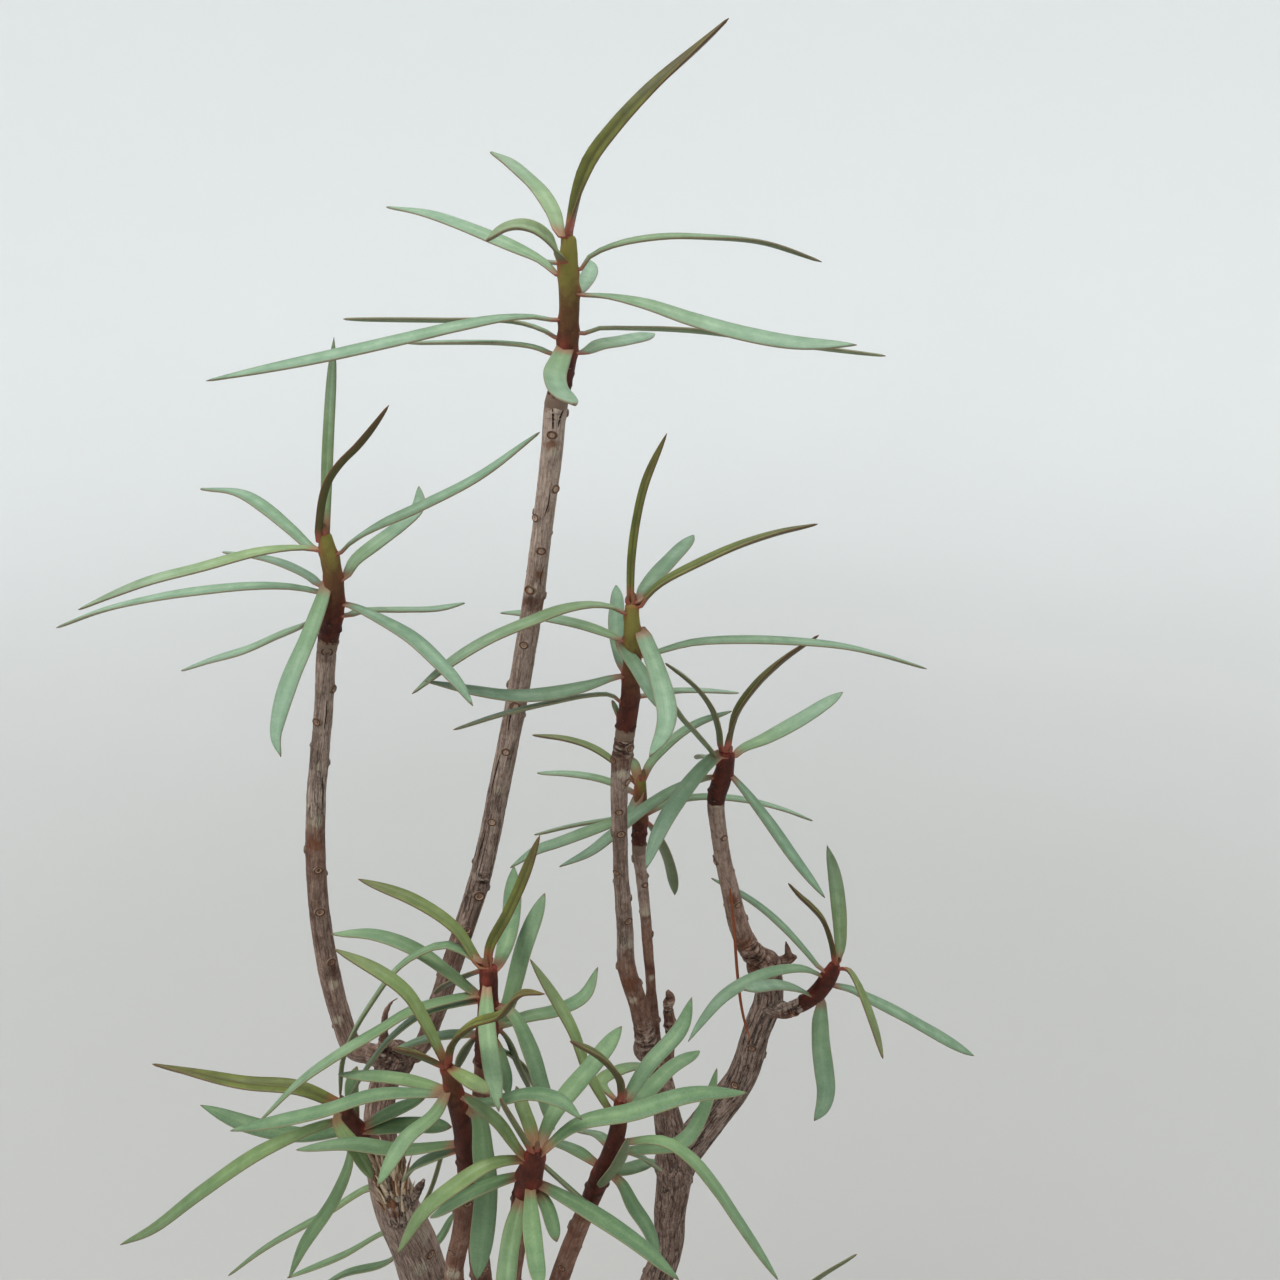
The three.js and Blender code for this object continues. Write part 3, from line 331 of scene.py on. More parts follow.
            (15, 4.2, 602, 1168, 575, 1150, 548, 1140),
            (24, 4.4, 611, 1150, 600, 1136, 575, 1130),
            (-16, 3, 596, 1188, 612, 1172, 622, 1156, 628, 1138),
            (24, 4.6, 604, 1174, 632, 1168, 655, 1160),
        ],
    },
    "low_left": {
        "stem": [
            (381, 1152, -41, 6), (369, 1143, -49, 4.6), (362, 1136, -54, 4.4), (352, 1121, -57, 4.2),
            (343, 1105, -58, 3),
        ],
        "leafyFrom": 2, "low": 1.0, "olive": 0.4, "young": {1: 0.85, 3: 0.4, 5: 0.5}, "blunt": {4},
        "bases": {1: 0.7},
        "turned": {1: (0, -45)},
        "leaves": [
            (6, 5, 345, 1108, 300, 1089, 240, 1083, 152, 1064),
            (14, 5, 356, 1130, 300, 1135, 250, 1125, 200, 1105),
            (-12, 5.2, 350, 1120, 330, 1123, 263, 1151, 202, 1192, 153, 1229, 120, 1245),
            (-6, 5, 358, 1131, 406, 1125, 452, 1127),
            (-16, 4, 342, 1107, 337, 1120, 356, 1150, 374, 1181),
            (6, 4.4, 357, 1128, 354, 1112, 352, 1085, 357, 1066),
            (-6, 4.8, 350, 1120, 350, 1160, 334, 1200, 304, 1245, 289, 1278),
            (0, 4.4, 358, 1130, 385, 1115, 425, 1098),
        ],
    },
    "lowest_left": {
        "stem": [
            (424, 1290, -38, 8), (414, 1268, -29, 5), (408, 1250, -24, 4.6), (404, 1235, -22, 4.4),
            (401, 1220, -21, 3),
        ],
        "leafyFrom": 2, "low": 1.0, "olive": 0.3, "young": {1: 0.3, 4: 0.3}, "blunt": {3}, "bases": {1: 0.6},
        "leaves": [
            (-12, 5, 402, 1226, 379, 1186, 324, 1215, 267, 1247, 228, 1276),
            (0, 4.8, 405, 1236, 391, 1231, 344, 1255, 287, 1278),
            (4, 4.8, 405, 1240, 388, 1262, 344, 1274, 310, 1296),
            (6, 4.2, 403, 1228, 428, 1195, 446, 1140),
            (10, 4.6, 406, 1242, 435, 1243, 455, 1212),
        ],
    },
    "low_right": {
        "stem": [
            (at(8, 4, 113), 10), (at(36, 7, 124), 6.4), (at(58, 8, 140), 5.2), (at(67, 7, 154), 4.8),
            (at(72, 6, 168), 3),
        ],
        "leafyFrom": 2, "low": 1.0, "olive": 0.5, "young": {1: 0.3}, "blunt": {3}, "bases": {1: 0.6},
        "leaves": [
            (-12, 4.8, 757, 1340, 812, 1283, 857, 1254),
            (20, 4.6, 755, 1345, 815, 1345, 880, 1372),
            (-30, 4.8, 753, 1360, 730, 1385, 735, 1450),
            (40, 4.6, 755, 1345, 770, 1310, 790, 1295),
            (-14, 4.8, 750, 1362, 800, 1390, 850, 1440),
            (26, 4.6, 752, 1365, 715, 1345, 672, 1350),
            (-22, 4.4, 756, 1338, 730, 1315, 700, 1318),
        ],
    },
}

# Trunks and dead wood have rows like the stems, or a point and a thickness. Knots: middle and radius of each.
leftFork = seen(395, 1060, -30)
middleFork = seen(648, 1048, 1)
rightFork = seen(675, 1164, 14)
rightKnot = seen(764, 966, 17)
trunks = [
    [
        [leftFork, 9], (384, 1085, -33, 8.4), (379, 1120, -38, 9), (384, 1160, -42, 11),
        (396, 1205, -43, 13), (414, 1245, -42, 14), (424, 1275, -41, 14.5),
        [at(-30, -30, 205), 14.5], [at(-14, -12, 145), 16], [at(-5, -3, 112), 17],
    ],
    [
        [middleFork, 7.5], (663, 1084, 5, 7.4), (666, 1109, 9, 8.6), [rightFork, 13],
        (670, 1210, 17, 11.5), (667, 1250, 19, 11), [at(28, 14, 160), 12], [at(9, 5, 114), 15],
    ],
    [[at(-16, -50, 234), 7], [at(-13, -34, 180), 8.4], [at(-6, -9, 116), 11]],
    [[at(-2, -62, 227), 8], [at(2, -38, 170), 9], [at(3, -9, 116), 12]],
]
tornTrunk = [
    (399, 1212, -46, 9), (394, 1190, -48, 8.4), (390, 1172, -49, 6),
    (388, 1163, -49, 2),
]
barkFlap = [(404, 1206, -44, 6), (414, 1196, -47, 3.6), (424, 1180, -48, 1.6)]
middleStub = [
    (664, 1084, 4, 5), (671, 1044, 3, 2.6), (671, 1026, 3, 4.4), (668, 1008, 2, 3.2),
    (670, 997, 2, 3.4), (667, 990, 2, 1.2),
]
rightSpur = [
    (766, 966, 18, 5), (779, 962, 20, 3.8), (789, 959, 21, 3.6), (797, 956, 21, 1.4),
]
spurTip = [(789, 962, 21, 3), (788, 951, 21, 2.4), (786, 941, 21, 0.7)]
deadTwig = [
    (384, 1058, -33, 4), (384, 1028, -34, 2.2), (386, 1012, -34, 1.8),
    (391, 1003, -34, 1.2), (398, 998, -35, 0.7),
]
deadWood = [tornTrunk, barkFlap, middleStub, rightSpur, deadTwig, spurTip]
knots = [[leftFork, 6.2], [middleFork, 5.2], [rightFork, 8], [rightKnot, 6.2]]
dryNeedle = {
    "width": 1.2, "thick": 0.9,
    "route": [
        seen(729, 880, 15), seen(733, 915, 13), seen(738, 980, 11), seen(743, 1015, 11), seen(751, 1043, 11),
    ],
}

# Curves and meshes
def unit(vectors):
    return vectors / np.linalg.norm(vectors, axis=-1, keepdims=True)


def ease(values, start, end):
    share = np.clip((np.asarray(values, float) - start) / (end - start), 0, 1)
    return share * share * (3 - 2 * share)


def curvePoints(controls, shares):
    # a centripetal curve through the controls; equal shares go to each stretch between two of them
    controls = np.array(controls, float)
    spans = len(controls) - 1
    ends = np.vstack([2 * controls[0] - controls[1], controls, 2 * controls[-1] - controls[-2]])
    steps = np.asarray(shares, float) * spans
    first = np.clip(np.floor(steps).astype(int), 0, spans - 1)
    rest = (steps - first)[:, None]
    before, start, end, after = (ends[first + place] for place in range(4))

    def gap(one, other):
        return np.linalg.norm(other - one, axis=1, keepdims=True) ** 0.5

    came, here, goes = gap(before, start), gap(start, end), gap(end, after)
    leave = ((start - before) / came - (end - before) / (came + here) + (end - start) / here) * here
    enter = ((end - start) / here - (after - start) / (here + goes) + (after - end) / goes) * here
    bend = 3 * (end - start) - 2 * leave - enter
    return start + rest * leave + rest**2 * bend + rest**3 * (2 * (start - end) + leave + enter)


def evenPoints(controls, places):
    # points at even shares of the curve's length, and that length
    shares = np.linspace(0, 1, 30 * len(controls))
    steps = np.linalg.norm(np.diff(curvePoints(controls, shares), axis=0), axis=1)
    lengths = np.concatenate([[0], np.cumsum(steps)])
    spots = np.interp(np.asarray(places) * lengths[-1], lengths, shares)
    return curvePoints(controls, spots), lengths[-1]


def travelled(path):
    return np.concatenate([[0], np.cumsum(np.linalg.norm(np.diff(path, axis=0), axis=1))])


def framesAlong(path):
    # direction, side and across at each point, with no needless twist
    along = unit(np.gradient(path, axis=0))
    side = np.zeros_like(along)
    last = at(0, 1, 0)
    for place, direction in enumerate(along):
        last = last - direction * last.dot(direction)
        last = last / np.linalg.norm(last)
        side[place] = last
    return along, side, np.cross(along, side)


def hoop(radius, height, turn):
    return np.column_stack([radius * np.cos(turn), radius * np.sin(turn), np.full(len(turn), height)])


def ringFaces(rings, sides):
    faces = []
    for ring in range(rings - 1):
        for corner in range(sides):
            a = ring * sides + corner
            b = ring * sides + (corner + 1) % sides
            faces.append((a, b, b + sides, a + sides))
    faces.append(tuple(range(sides - 1, -1, -1)))
    faces.append(tuple(range((rings - 1) * sides, rings * sides)))
    return faces


def newHeap():
    return {"points": [], "faces": [], "finish": [], "marks": {}, "count": 0}


def pile(heap, points, faces, finish=0, **marks):
    # marks are vectors kept at the points, which the materials read
    start = heap["count"]
    heap["faces"] += [tuple(corner + start for corner in face) for face in faces]
    heap["finish"] += [finish] * len(faces)
    heap["points"].append(points)
    heap["count"] += len(points)
    for name, values in marks.items():
        heap["marks"].setdefault(name, []).append((start, np.broadcast_to(values, (len(points), 3))))


def mark(mesh, name, values, kind="FLOAT_VECTOR"):
    attribute = mesh.attributes.new(name, kind, "POINT")
    field = "vector" if kind == "FLOAT_VECTOR" else "value"
    attribute.data.foreach_set(field, np.ascontiguousarray(values, dtype=np.float32).ravel())


def meshFrom(name, heap, finishes):
    mesh = bpy.data.meshes.new(name)
    mesh.from_pydata((np.vstack(heap["points"]) * millimetre).tolist(), [], heap["faces"])
    for markName, blocks in heap["marks"].items():
        values = np.zeros((heap["count"], 3))
        for start, block in blocks:
            values[start:start + len(block)] = block
        mark(mesh, markName, values)
    for finish in finishes:
        mesh.materials.append(finish)
    mesh.polygons.foreach_set("material_index", heap["finish"])
    mesh.shade_smooth()
    return mesh


def show(name, mesh):
    piece = bpy.data.objects.new(name, mesh)
    bpy.context.collection.objects.link(piece)
    return piece


def pieceFrom(name, heap, *finishes):
    return show(name, meshFrom(name, heap, finishes))


def keep(piece, slot, *nodes):
    # each piece rides on the one body, and may stand for nodes of the frame
    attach(piece, "root")
    if nodes:
        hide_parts(*nodes)
    print("piece", piece.name, len(piece.data.polygons), "faces")


def verticesOf(mesh):
    flat = np.empty(len(mesh.vertices) * 3)
    mesh.vertices.foreach_get("co", flat)
    return flat.reshape(-1, 3) / millimetre


def applied(piece):
    # the evaluated mesh takes the place of the piece's own, and its modifiers go
    graph = bpy.context.evaluated_depsgraph_get()
    mesh = bpy.data.meshes.new_from_object(piece.evaluated_get(graph))
    piece.modifiers.clear()
    old = piece.data
    piece.data = mesh
    bpy.data.meshes.remove(old)
    return piece


def lathed(profile, turns):
    # radius and height pairs that start and end on the axis
    start, *middle, end = profile
    turn = np.linspace(0, 2 * math.pi, turns, endpoint=False)
    rings = [hoop(radius, height, turn) for radius, height in middle]
    points = np.vstack(rings + [[[0, 0, start[1]]], [[0, 0, end[1]]]])
    faces = ringFaces(len(middle), turns)[:-2]
    bottom = len(points) - 2
    last = (len(middle) - 1) * turns
    for corner in range(turns):
        after = (corner + 1) % turns
        faces.append((bottom, after, corner))
        faces.append((bottom + 1, last + corner, last + after))
    return points, faces


def rounded(corners, steps=6):
    # radius, height and rounding of each corner of a profile
    profile = []
    for place, (radius, height, rounding) in enumerate(corners):
        here = np.array([radius, height], float)
        if not rounding:
            profile.append(tuple(here))
            continue
        before = np.array(corners[place - 1][:2], float) - here
        after = np.array(corners[place + 1][:2], float) - here
        half = math.acos(np.clip(unit(before).dot(unit(after)), -1, 1)) / 2
        reach = min(rounding / math.tan(half), 0.48 * min(np.linalg.norm(before), np.linalg.norm(after)))
        for step in range(steps + 1):
            share = step / steps
            start = here + unit(before) * reach * (1 - share)
            profile.append(tuple(start + (here + unit(after) * reach * share - start) * share))
    return profile


# Nodes: each is added to the tree of the sockets that feed it
def addNode(tree, kind, sockets=None, **settings):
    node = tree.nodes.new(kind)
    for name, value in settings.items():
        setattr(node, name, value)
    for name, value in (sockets or {}).items():
        if isinstance(value, bpy.types.NodeSocket):
            tree.links.new(value, node.inputs[name])
        else:
            node.inputs[name].default_value = value
    return node


def fed(kind, sockets, **settings):
    tree = next(value.id_data for value in sockets.values() if isinstance(value, bpy.types.NodeSocket))
    return addNode(tree, kind, sockets, **settings).outputs


def tint(red, green, blue):
    # a colour as a screen shows it, from 0 to 255, as the light that the shaders count in
    light = [(value / 255 + 0.055) / 1.055 for value in (red, green, blue)]
    return tuple(value**2.4 for value in light) + (1.0,)


def mixed(factor, first, second):
    # a colour given in three numbers is one that a screen shows
    first, second = (tint(*colour) if isinstance(colour, tuple) else colour for colour in (first, second))
    return fed("ShaderNodeMix", {0: factor, 6: first, 7: second}, data_type="RGBA")[2]


def worked(operation, *values):
    return fed("ShaderNodeMath", dict(enumerate(values)), operation=operation)[0]


def times(*values):
    return reduce(lambda one, other: worked("MULTIPLY", one, other), values)


def plus(*values):
    return reduce(lambda one, other: worked("ADD", one, other), values)


def minus(first, second):
    return worked("SUBTRACT", first, second)


def vectored(operation, *values):
    return fed("ShaderNodeVectorMath", dict(enumerate(values)), operation=operation)[0]


def joined(*values):
    return fed("ShaderNodeCombineXYZ", dict(enumerate(values)))[0]


def split(vector):
    return fed("ShaderNodeSeparateXYZ", {0: vector})


def eased(value, start, end, low=0.0, high=1.0):
    sockets = dict(enumerate((value, start, end, low, high)))
    return fed("ShaderNodeMapRange", sockets, interpolation_type="SMOOTHSTEP")[0]


def scattered(vector, scale, detail=2.0, roughness=0.5, output=0):
    sockets = {"Vector": vector, "Scale": scale, "Detail": detail, "Roughness": roughness}
    return fed("ShaderNodeTexNoise", sockets)[output]


def fromAxis(x, y):
    return worked("SQRT", plus(worked("POWER", x, 2.0), worked("POWER", y, 2.0)))


def marked(tree, name, output="Vector"):
    return addNode(tree, "ShaderNodeAttribute", attribute_name=name).outputs[output]


def named(tree, name, kind="FLOAT_VECTOR"):
    return addNode(tree, "GeometryNodeInputNamedAttribute", {"Name": name}, data_type=kind).outputs[0]


def inMillimetres(tree):
    place = addNode(tree, "ShaderNodeTexCoord").outputs["Object"]
    return vectored("MULTIPLY", place, (1 / millimetre,) * 3)


number, arrow, shape = "NodeSocketFloat", "NodeSocketVector", "NodeSocketGeometry"


def newGroup(name, inputs, outputs, kind="ShaderNodeTree"):
    # an input is given as its first number, or as the kind of its socket
    group = bpy.data.node_groups.new(name, kind)
    for socketName, value in inputs.items():
        socketKind = value if isinstance(value, str) else number
        socket = group.interface.new_socket(socketName, in_out="INPUT", socket_type=socketKind)
        if socketKind == number:
            socket.default_value = value
    for socketName in outputs:
        socketKind = shape if kind == "GeometryNodeTree" else number
        group.interface.new_socket(socketName, in_out="OUTPUT", socket_type=socketKind)
    entry = group.nodes.new("NodeGroupInput").outputs
    leave = group.nodes.new("NodeGroupOutput").inputs
    return group, entry, leave


def coatedShape(tree, entry, leave, geometry):
    # the end of a tree of geometry: plain faces with their material
    whole = fed("GeometryNodeRealizeInstances", {"Geometry": geometry})[0]
    coated = fed("GeometryNodeSetMaterial", {"Geometry": whole, "Material": entry["Material"]})[0]
    tree.links.new(coated, leave["Geometry"])
    return tree


def makeMottleGroup():
    # soft patches: 0 below Low, 1 above High
    inputs = {"Vector": arrow, "Scale": 1.0, "Low": 0.4, "High": 0.6}
    group, entry, leave = newGroup("mottle", inputs, ["Mask"])
    patches = scattered(entry["Vector"], entry["Scale"], 4.0, 0.6)
    group.links.new(eased(patches, entry["Low"], entry["High"]), leave["Mask"])
    return group


def makeGrainGroup():
    # streaks and cracks that run along the third axis of the vector
    inputs = {"Vector": arrow, "Across": 1.0, "Along": 0.1, "Crack Width": 0.04, "Wander": 0.3}
    group, entry, leave = newGroup("grain", inputs, ["Streaks", "Cracks"])
    stretch = joined(entry["Across"], entry["Across"], entry["Along"])
    place = vectored("MULTIPLY", entry["Vector"], stretch)
    push = vectored("SUBTRACT", scattered(entry["Vector"], 0.35, output="Color"), (0.5, 0.5, 0.5))
    pushed = fed("ShaderNodeVectorMath", {0: push, "Scale": entry["Wander"]}, operation="SCALE")[0]
    place = vectored("ADD", place, pushed)
    group.links.new(scattered(place, 1.0, 3.0, 0.6), leave["Streaks"])
    near = worked("ABSOLUTE", minus(scattered(place, 0.6), 0.5))
    group.links.new(eased(near, entry["Crack Width"], 0.0), leave["Cracks"])
    return group


def makeSpeckGroup():
    # small round marks on a share of a scattered grid
    inputs = {"Vector": arrow, "Scale": 1.0, "Size": 0.25, "Share": 0.3}
    group, entry, leave = newGroup("specks", inputs, ["Mask"])
    cells = fed("ShaderNodeTexVoronoi", {"Vector": entry["Vector"], "Scale": entry["Scale"]})
    chosen = worked("LESS_THAN", split(cells["Color"])[0], entry["Share"])
    spot = eased(cells["Distance"], entry["Size"], times(entry["Size"], 0.6))
    group.links.new(times(spot, chosen), leave["Mask"])
    return group


shared = {"mottle": makeMottleGroup(), "grain": makeGrainGroup(), "specks": makeSpeckGroup()}


def effect(name, *values):
    return fed("ShaderNodeGroup", dict(enumerate(values)), node_tree=shared[name])


def mottled(vector, scale, low, high):
    return effect("mottle", vector, scale, low, high)["Mask"]


def grained(vector, across, along, crackWidth, wander):
    return effect("grain", vector, across, along, crackWidth, wander)


def specked(vector, scale, size, share):
    return effect("specks", vector, scale, size, share)["Mask"]


def newFinish(name, **values):
    material = bpy.data.materials.new(name)
    material.use_nodes = True
    tree = material.node_tree
    shader = next(node for node in tree.nodes if node.type == "BSDF_PRINCIPLED")
    for socketName, value in values.items():
        shader.inputs[socketName.replace("_", " ")].default_value = value
    return material, tree, shader


def finishWith(shader, colour, roughness=None, height=None, deep=0.1, strength=1.0):
    # deep is the height of the relief in millimetres
    links = shader.id_data.links
    links.new(colour, shader.inputs["Base Color"])
    if roughness is not None:
        links.new(roughness, shader.inputs["Roughness"])
    if height is not None:
        sockets = {"Height": height, "Distance": deep * millimetre, "Strength": strength}
        links.new(fed("ShaderNodeBump", sockets)[0], shader.inputs["Normal"])


# Camera, floor and light
studio = {
    "floor": 1.3, "sweep": 0.9, "wall": 1.6, "turns": 96, "tones": [(177, 177, 174), (237, 240, 240)],
    "sky": (0.97, 0.985, 1.0, 1.0), "skyStrength": 0.4,
    "lamps": [  # place, size and power
        ((-0.5, -0.2, 2.1), 1.1, 28.0),
        ((0.7, 0.5, 2.1), 1.4, 12.0),
        ((-0.9, -1.5, 1.0), 1.2, 1.4),
    ],
    "aim": (0.0, 0.0, 0.35),
}


def makeStudio():
    lens = bpy.data.cameras.new("camera")
    lens.sensor_width = 36
    lens.lens = lens.sensor_width * viewpoint["reach"] / viewpoint["wide"]
    lens.clip_start, lens.clip_end = 0.02, 20
    camera = bpy.data.objects.new("camera", lens)
    camera.location = viewpoint["eye"] * millimetre
    camera.rotation_euler = (math.pi / 2 - tilt, 0, 0)
    bpy.context.collection.objects.link(camera)
    bpy.context.scene.camera = camera
    bpy.context.scene.view_settings.view_transform = "Standard"

    material, tree, shader = newFinish("studio_floor", Roughness=0.9)
    place = addNode(tree, "ShaderNodeTexCoord").outputs["Object"]
    flat = vectored("MULTIPLY", place, (1.0, 1.0, 0.0))
    reach = addNode(tree, "ShaderNodeVectorMath", {0: flat}, operation="LENGTH").outputs["Value"]
    reach = plus(reach, times(scattered(place, 3.0, 3.0), 0.15))
    # the backdrop is darker on the floor near the pot and lighter out to the wall: partly the darker colour
    # of the floor, partly painted shade on the lower backdrop
    finishWith(shader, mixed(eased(reach, 0.3, 2.3), *studio["tones"]))
    profile = [(0, 0), (0.4, 0), (studio["floor"], 0)]
    for step in range(1, 13):
        turn = step / 12 * math.pi / 2
        out = studio["floor"] + studio["sweep"] * math.sin(turn)
        profile.append((out, studio["sweep"] * (1 - math.cos(turn))))
    profile.append((studio["floor"] + studio["sweep"], studio["wall"]))
    turn = np.linspace(0, 2 * math.pi, studio["turns"], endpoint=False)
    rings = [hoop(radius, height, turn) for radius, height in profile[1:]]
    faces = [tuple(reversed(face)) for face in ringFaces(len(rings), len(turn))[:-1]]
    mesh = bpy.data.meshes.new("studio_floor")
    mesh.from_pydata(np.vstack(rings).tolist(), [], faces)
    mesh.materials.append(material)
    mesh.shade_smooth()
    show("studio_floor", mesh)

    for order, (place, size, power) in enumerate(studio["lamps"]):
        lamp = bpy.data.lights.new(f"lamp_{order}", "AREA")
        lamp.shape, lamp.size, lamp.energy = "DISK", size, power
        holder = bpy.data.objects.new(lamp.name, lamp)
        holder.location = place
        holder.rotation_euler = (Vector(studio["aim"]) - Vector(place)).to_track_quat("-Z", "Y").to_euler()
        bpy.context.collection.objects.link(holder)
    world = bpy.data.worlds.new("sky")
    world.use_nodes = True
    background = next(node for node in world.node_tree.nodes if node.type == "BACKGROUND")
    background.inputs["Color"].default_value = studio["sky"]
    background.inputs["Strength"].default_value = studio["skyStrength"]
    bpy.context.scene.world = world
    print("camera and light")


makeStudio()

# Leaves
blade = {
    "thick": 1.15, "margin": 0.4, "channel": 0.14, "keel": 0.12, "baseShare": 0.4, "broadestAt": 0.5,
    "tapering": 3.6, "blunt": 5.4, "tipShare": 0.62, "settledAt": 0.3,
    "stations": 32, "twist": 5, "waver": 0.03, "folded": 5,
}
# a section from one margin over the upper face to the other and back below, in shares of the half width
above = [1, 0.94, 0.72, 0.42, 0.15, 0, -0.15, -0.42, -0.72, -0.94, -1]
below = [-0.94, -0.6, 0, 0.6, 0.94]
lineSteps = 12


def bladeWidth(places, base, tapering):
    # share of the full width from root (0) to tip (1)
    swell = base + (1 - base) * np.sin(np.minimum(places / blade["broadestAt"], 1) * math.pi / 2)
    fall = np.clip((places - blade["broadestAt"]) / (1 - blade["broadestAt"]), 0, 1) ** tapering
    return np.where(places > blade["broadestAt"], 1 - fall, swell)


def growBlade(
    heap, points, width, growth, draw, tone=(0, 0, 0), turned=(0, 0), base=None, fold=0, thick=None,
    tapering=None, start=2.2,
):
    # start is how far from its root a leaf comes out of the stem
    thick = thick or blade["thick"]
    base = base or blade["baseShare"]
    tapering = tapering or blade["tapering"]
    shares = np.linspace(0, 1, blade["stations"])
    places = 0.5 * shares + 0.5 * (1 - (1 - shares) ** 2.2)  # closer together towards the tip
    path, length = evenPoints(points, places)
    along = unit(np.gradient(path, axis=0))
    outward = points[-1] - points[0]
    outward = unit(outward - growth * outward.dot(growth))
    sideways = np.cross(growth, outward)
    up = unit(np.cross(along, sideways))
    across = unit(np.cross(up, along))
    facing = 1 if sideways[1] > 0 else -1
    settled, last = turned
    early, late = ease(places, 0, blade["settledAt"]), ease(places, blade["settledAt"], 1)
    roll = settled * early + (last - settled) * late
    roll = np.radians(roll * facing + draw.uniform(-1, 1) * blade["twist"] * places)[:, None]
    up, across = up * np.cos(roll) - across * np.sin(roll), across * np.cos(roll) + up * np.sin(roll)

    waver = 1 + blade["waver"] * np.sin(places * draw.uniform(9, 15) + draw.uniform(0, 6))
    share = bladeWidth(places, base, tapering)[:, None]
    half = np.maximum(width / 2 * share * waver[:, None], 0.05)
    tip = blade["tipShare"]
    body = np.minimum(thick * (tip + (1 - tip) * share), 2.6 * half)
    edge = np.minimum(blade["margin"], 0.6 * body) / 2
    x = np.array(above + below, float)
    top = edge + (body / 2 - edge) * (1 - abs(x) ** 2.2)
    full = ease(half, 0.3, 1.4)
    top = top - blade["channel"] * np.exp(-((x / 0.2) ** 2)) * full
    bottom = -edge - (body / 2 - edge) * (1 - x**2) - blade["keel"] * np.exp(-((x / 0.3) ** 2)) * full
    level = np.where(np.arange(len(x)) < len(above), top, bottom)
    lift = np.radians(blade["folded"] + fold * (1 - 0.6 * places))[:, None]
    level = np.where(abs(x) == 1, 0, level) + half * (abs(x) - 0.45) * np.sin(lift)
    sidewise = across[:, None] * (half * x * np.cos(lift))[..., None]
    ring = path[:, None] + sidewise + up[:, None] * level[..., None]

    sides = len(x)
    under = np.where(abs(x) == 1, 0.5, np.where(np.arange(sides) < len(above), 0.0, 1.0))
    spread = np.broadcast_to(x, (len(places), sides))
    lengths = np.broadcast_to((places * length)[:, None], spread.shape)
    reach = np.broadcast_to(places[:, None], spread.shape)
    bladeMark = np.stack([spread, reach, np.broadcast_to(under, spread.shape)], -1)
    placeMark = np.stack([half * spread, lengths - start, length - lengths], -1)
    pile(
        heap, ring.reshape(-1, 3), ringFaces(len(places), sides),
        blade=bladeMark.reshape(-1, 3), leafPlace=placeMark.reshape(-1, 3), leafTone=np.array(tone, float),
    )


def leafRoute(leaf, shoot):
    # a leaf starts on the shoot's own line and gains its depth evenly on its way out
    gain, width, *route = leaf
    places = list(zip(route[::2], route[1::2]))
    gaps = [np.linalg.norm(point - seen(*places[0], point[1])) for point in shoot]
    nearest = shoot[int(np.argmin(gaps))]
    steps = [math.dist(places[step], places[step + 1]) for step in range(len(places) - 1)]
    lengths = np.concatenate([[0], np.cumsum(steps)])
    points = [seen(*place, nearest[1] + gain * gone / lengths[-1]) for place, gone in zip(places, lengths)]
    if min(gaps) > 1:
        points.insert(0, nearest)
    return points, width, int(np.argmin(gaps))


shootSkin = {
    "sides": 22, "step": 0.55, "intoWood": 1.6, "tipRound": 1.3,
    "cushion": 0.36, "cushionLong": 1.4, "cushionWide": 1.15, "trail": 0.14, "trailLong": 3.2,
    "shedStep": 0.85, "shed": 0.5, "shedLong": 0.55, "shedWide": 0.95, "clear": 1.6,
    "peelsAbove": 0.6, "peeling": 4.5,  # how olive a shoot is that peels to bark at its foot, and how far
}


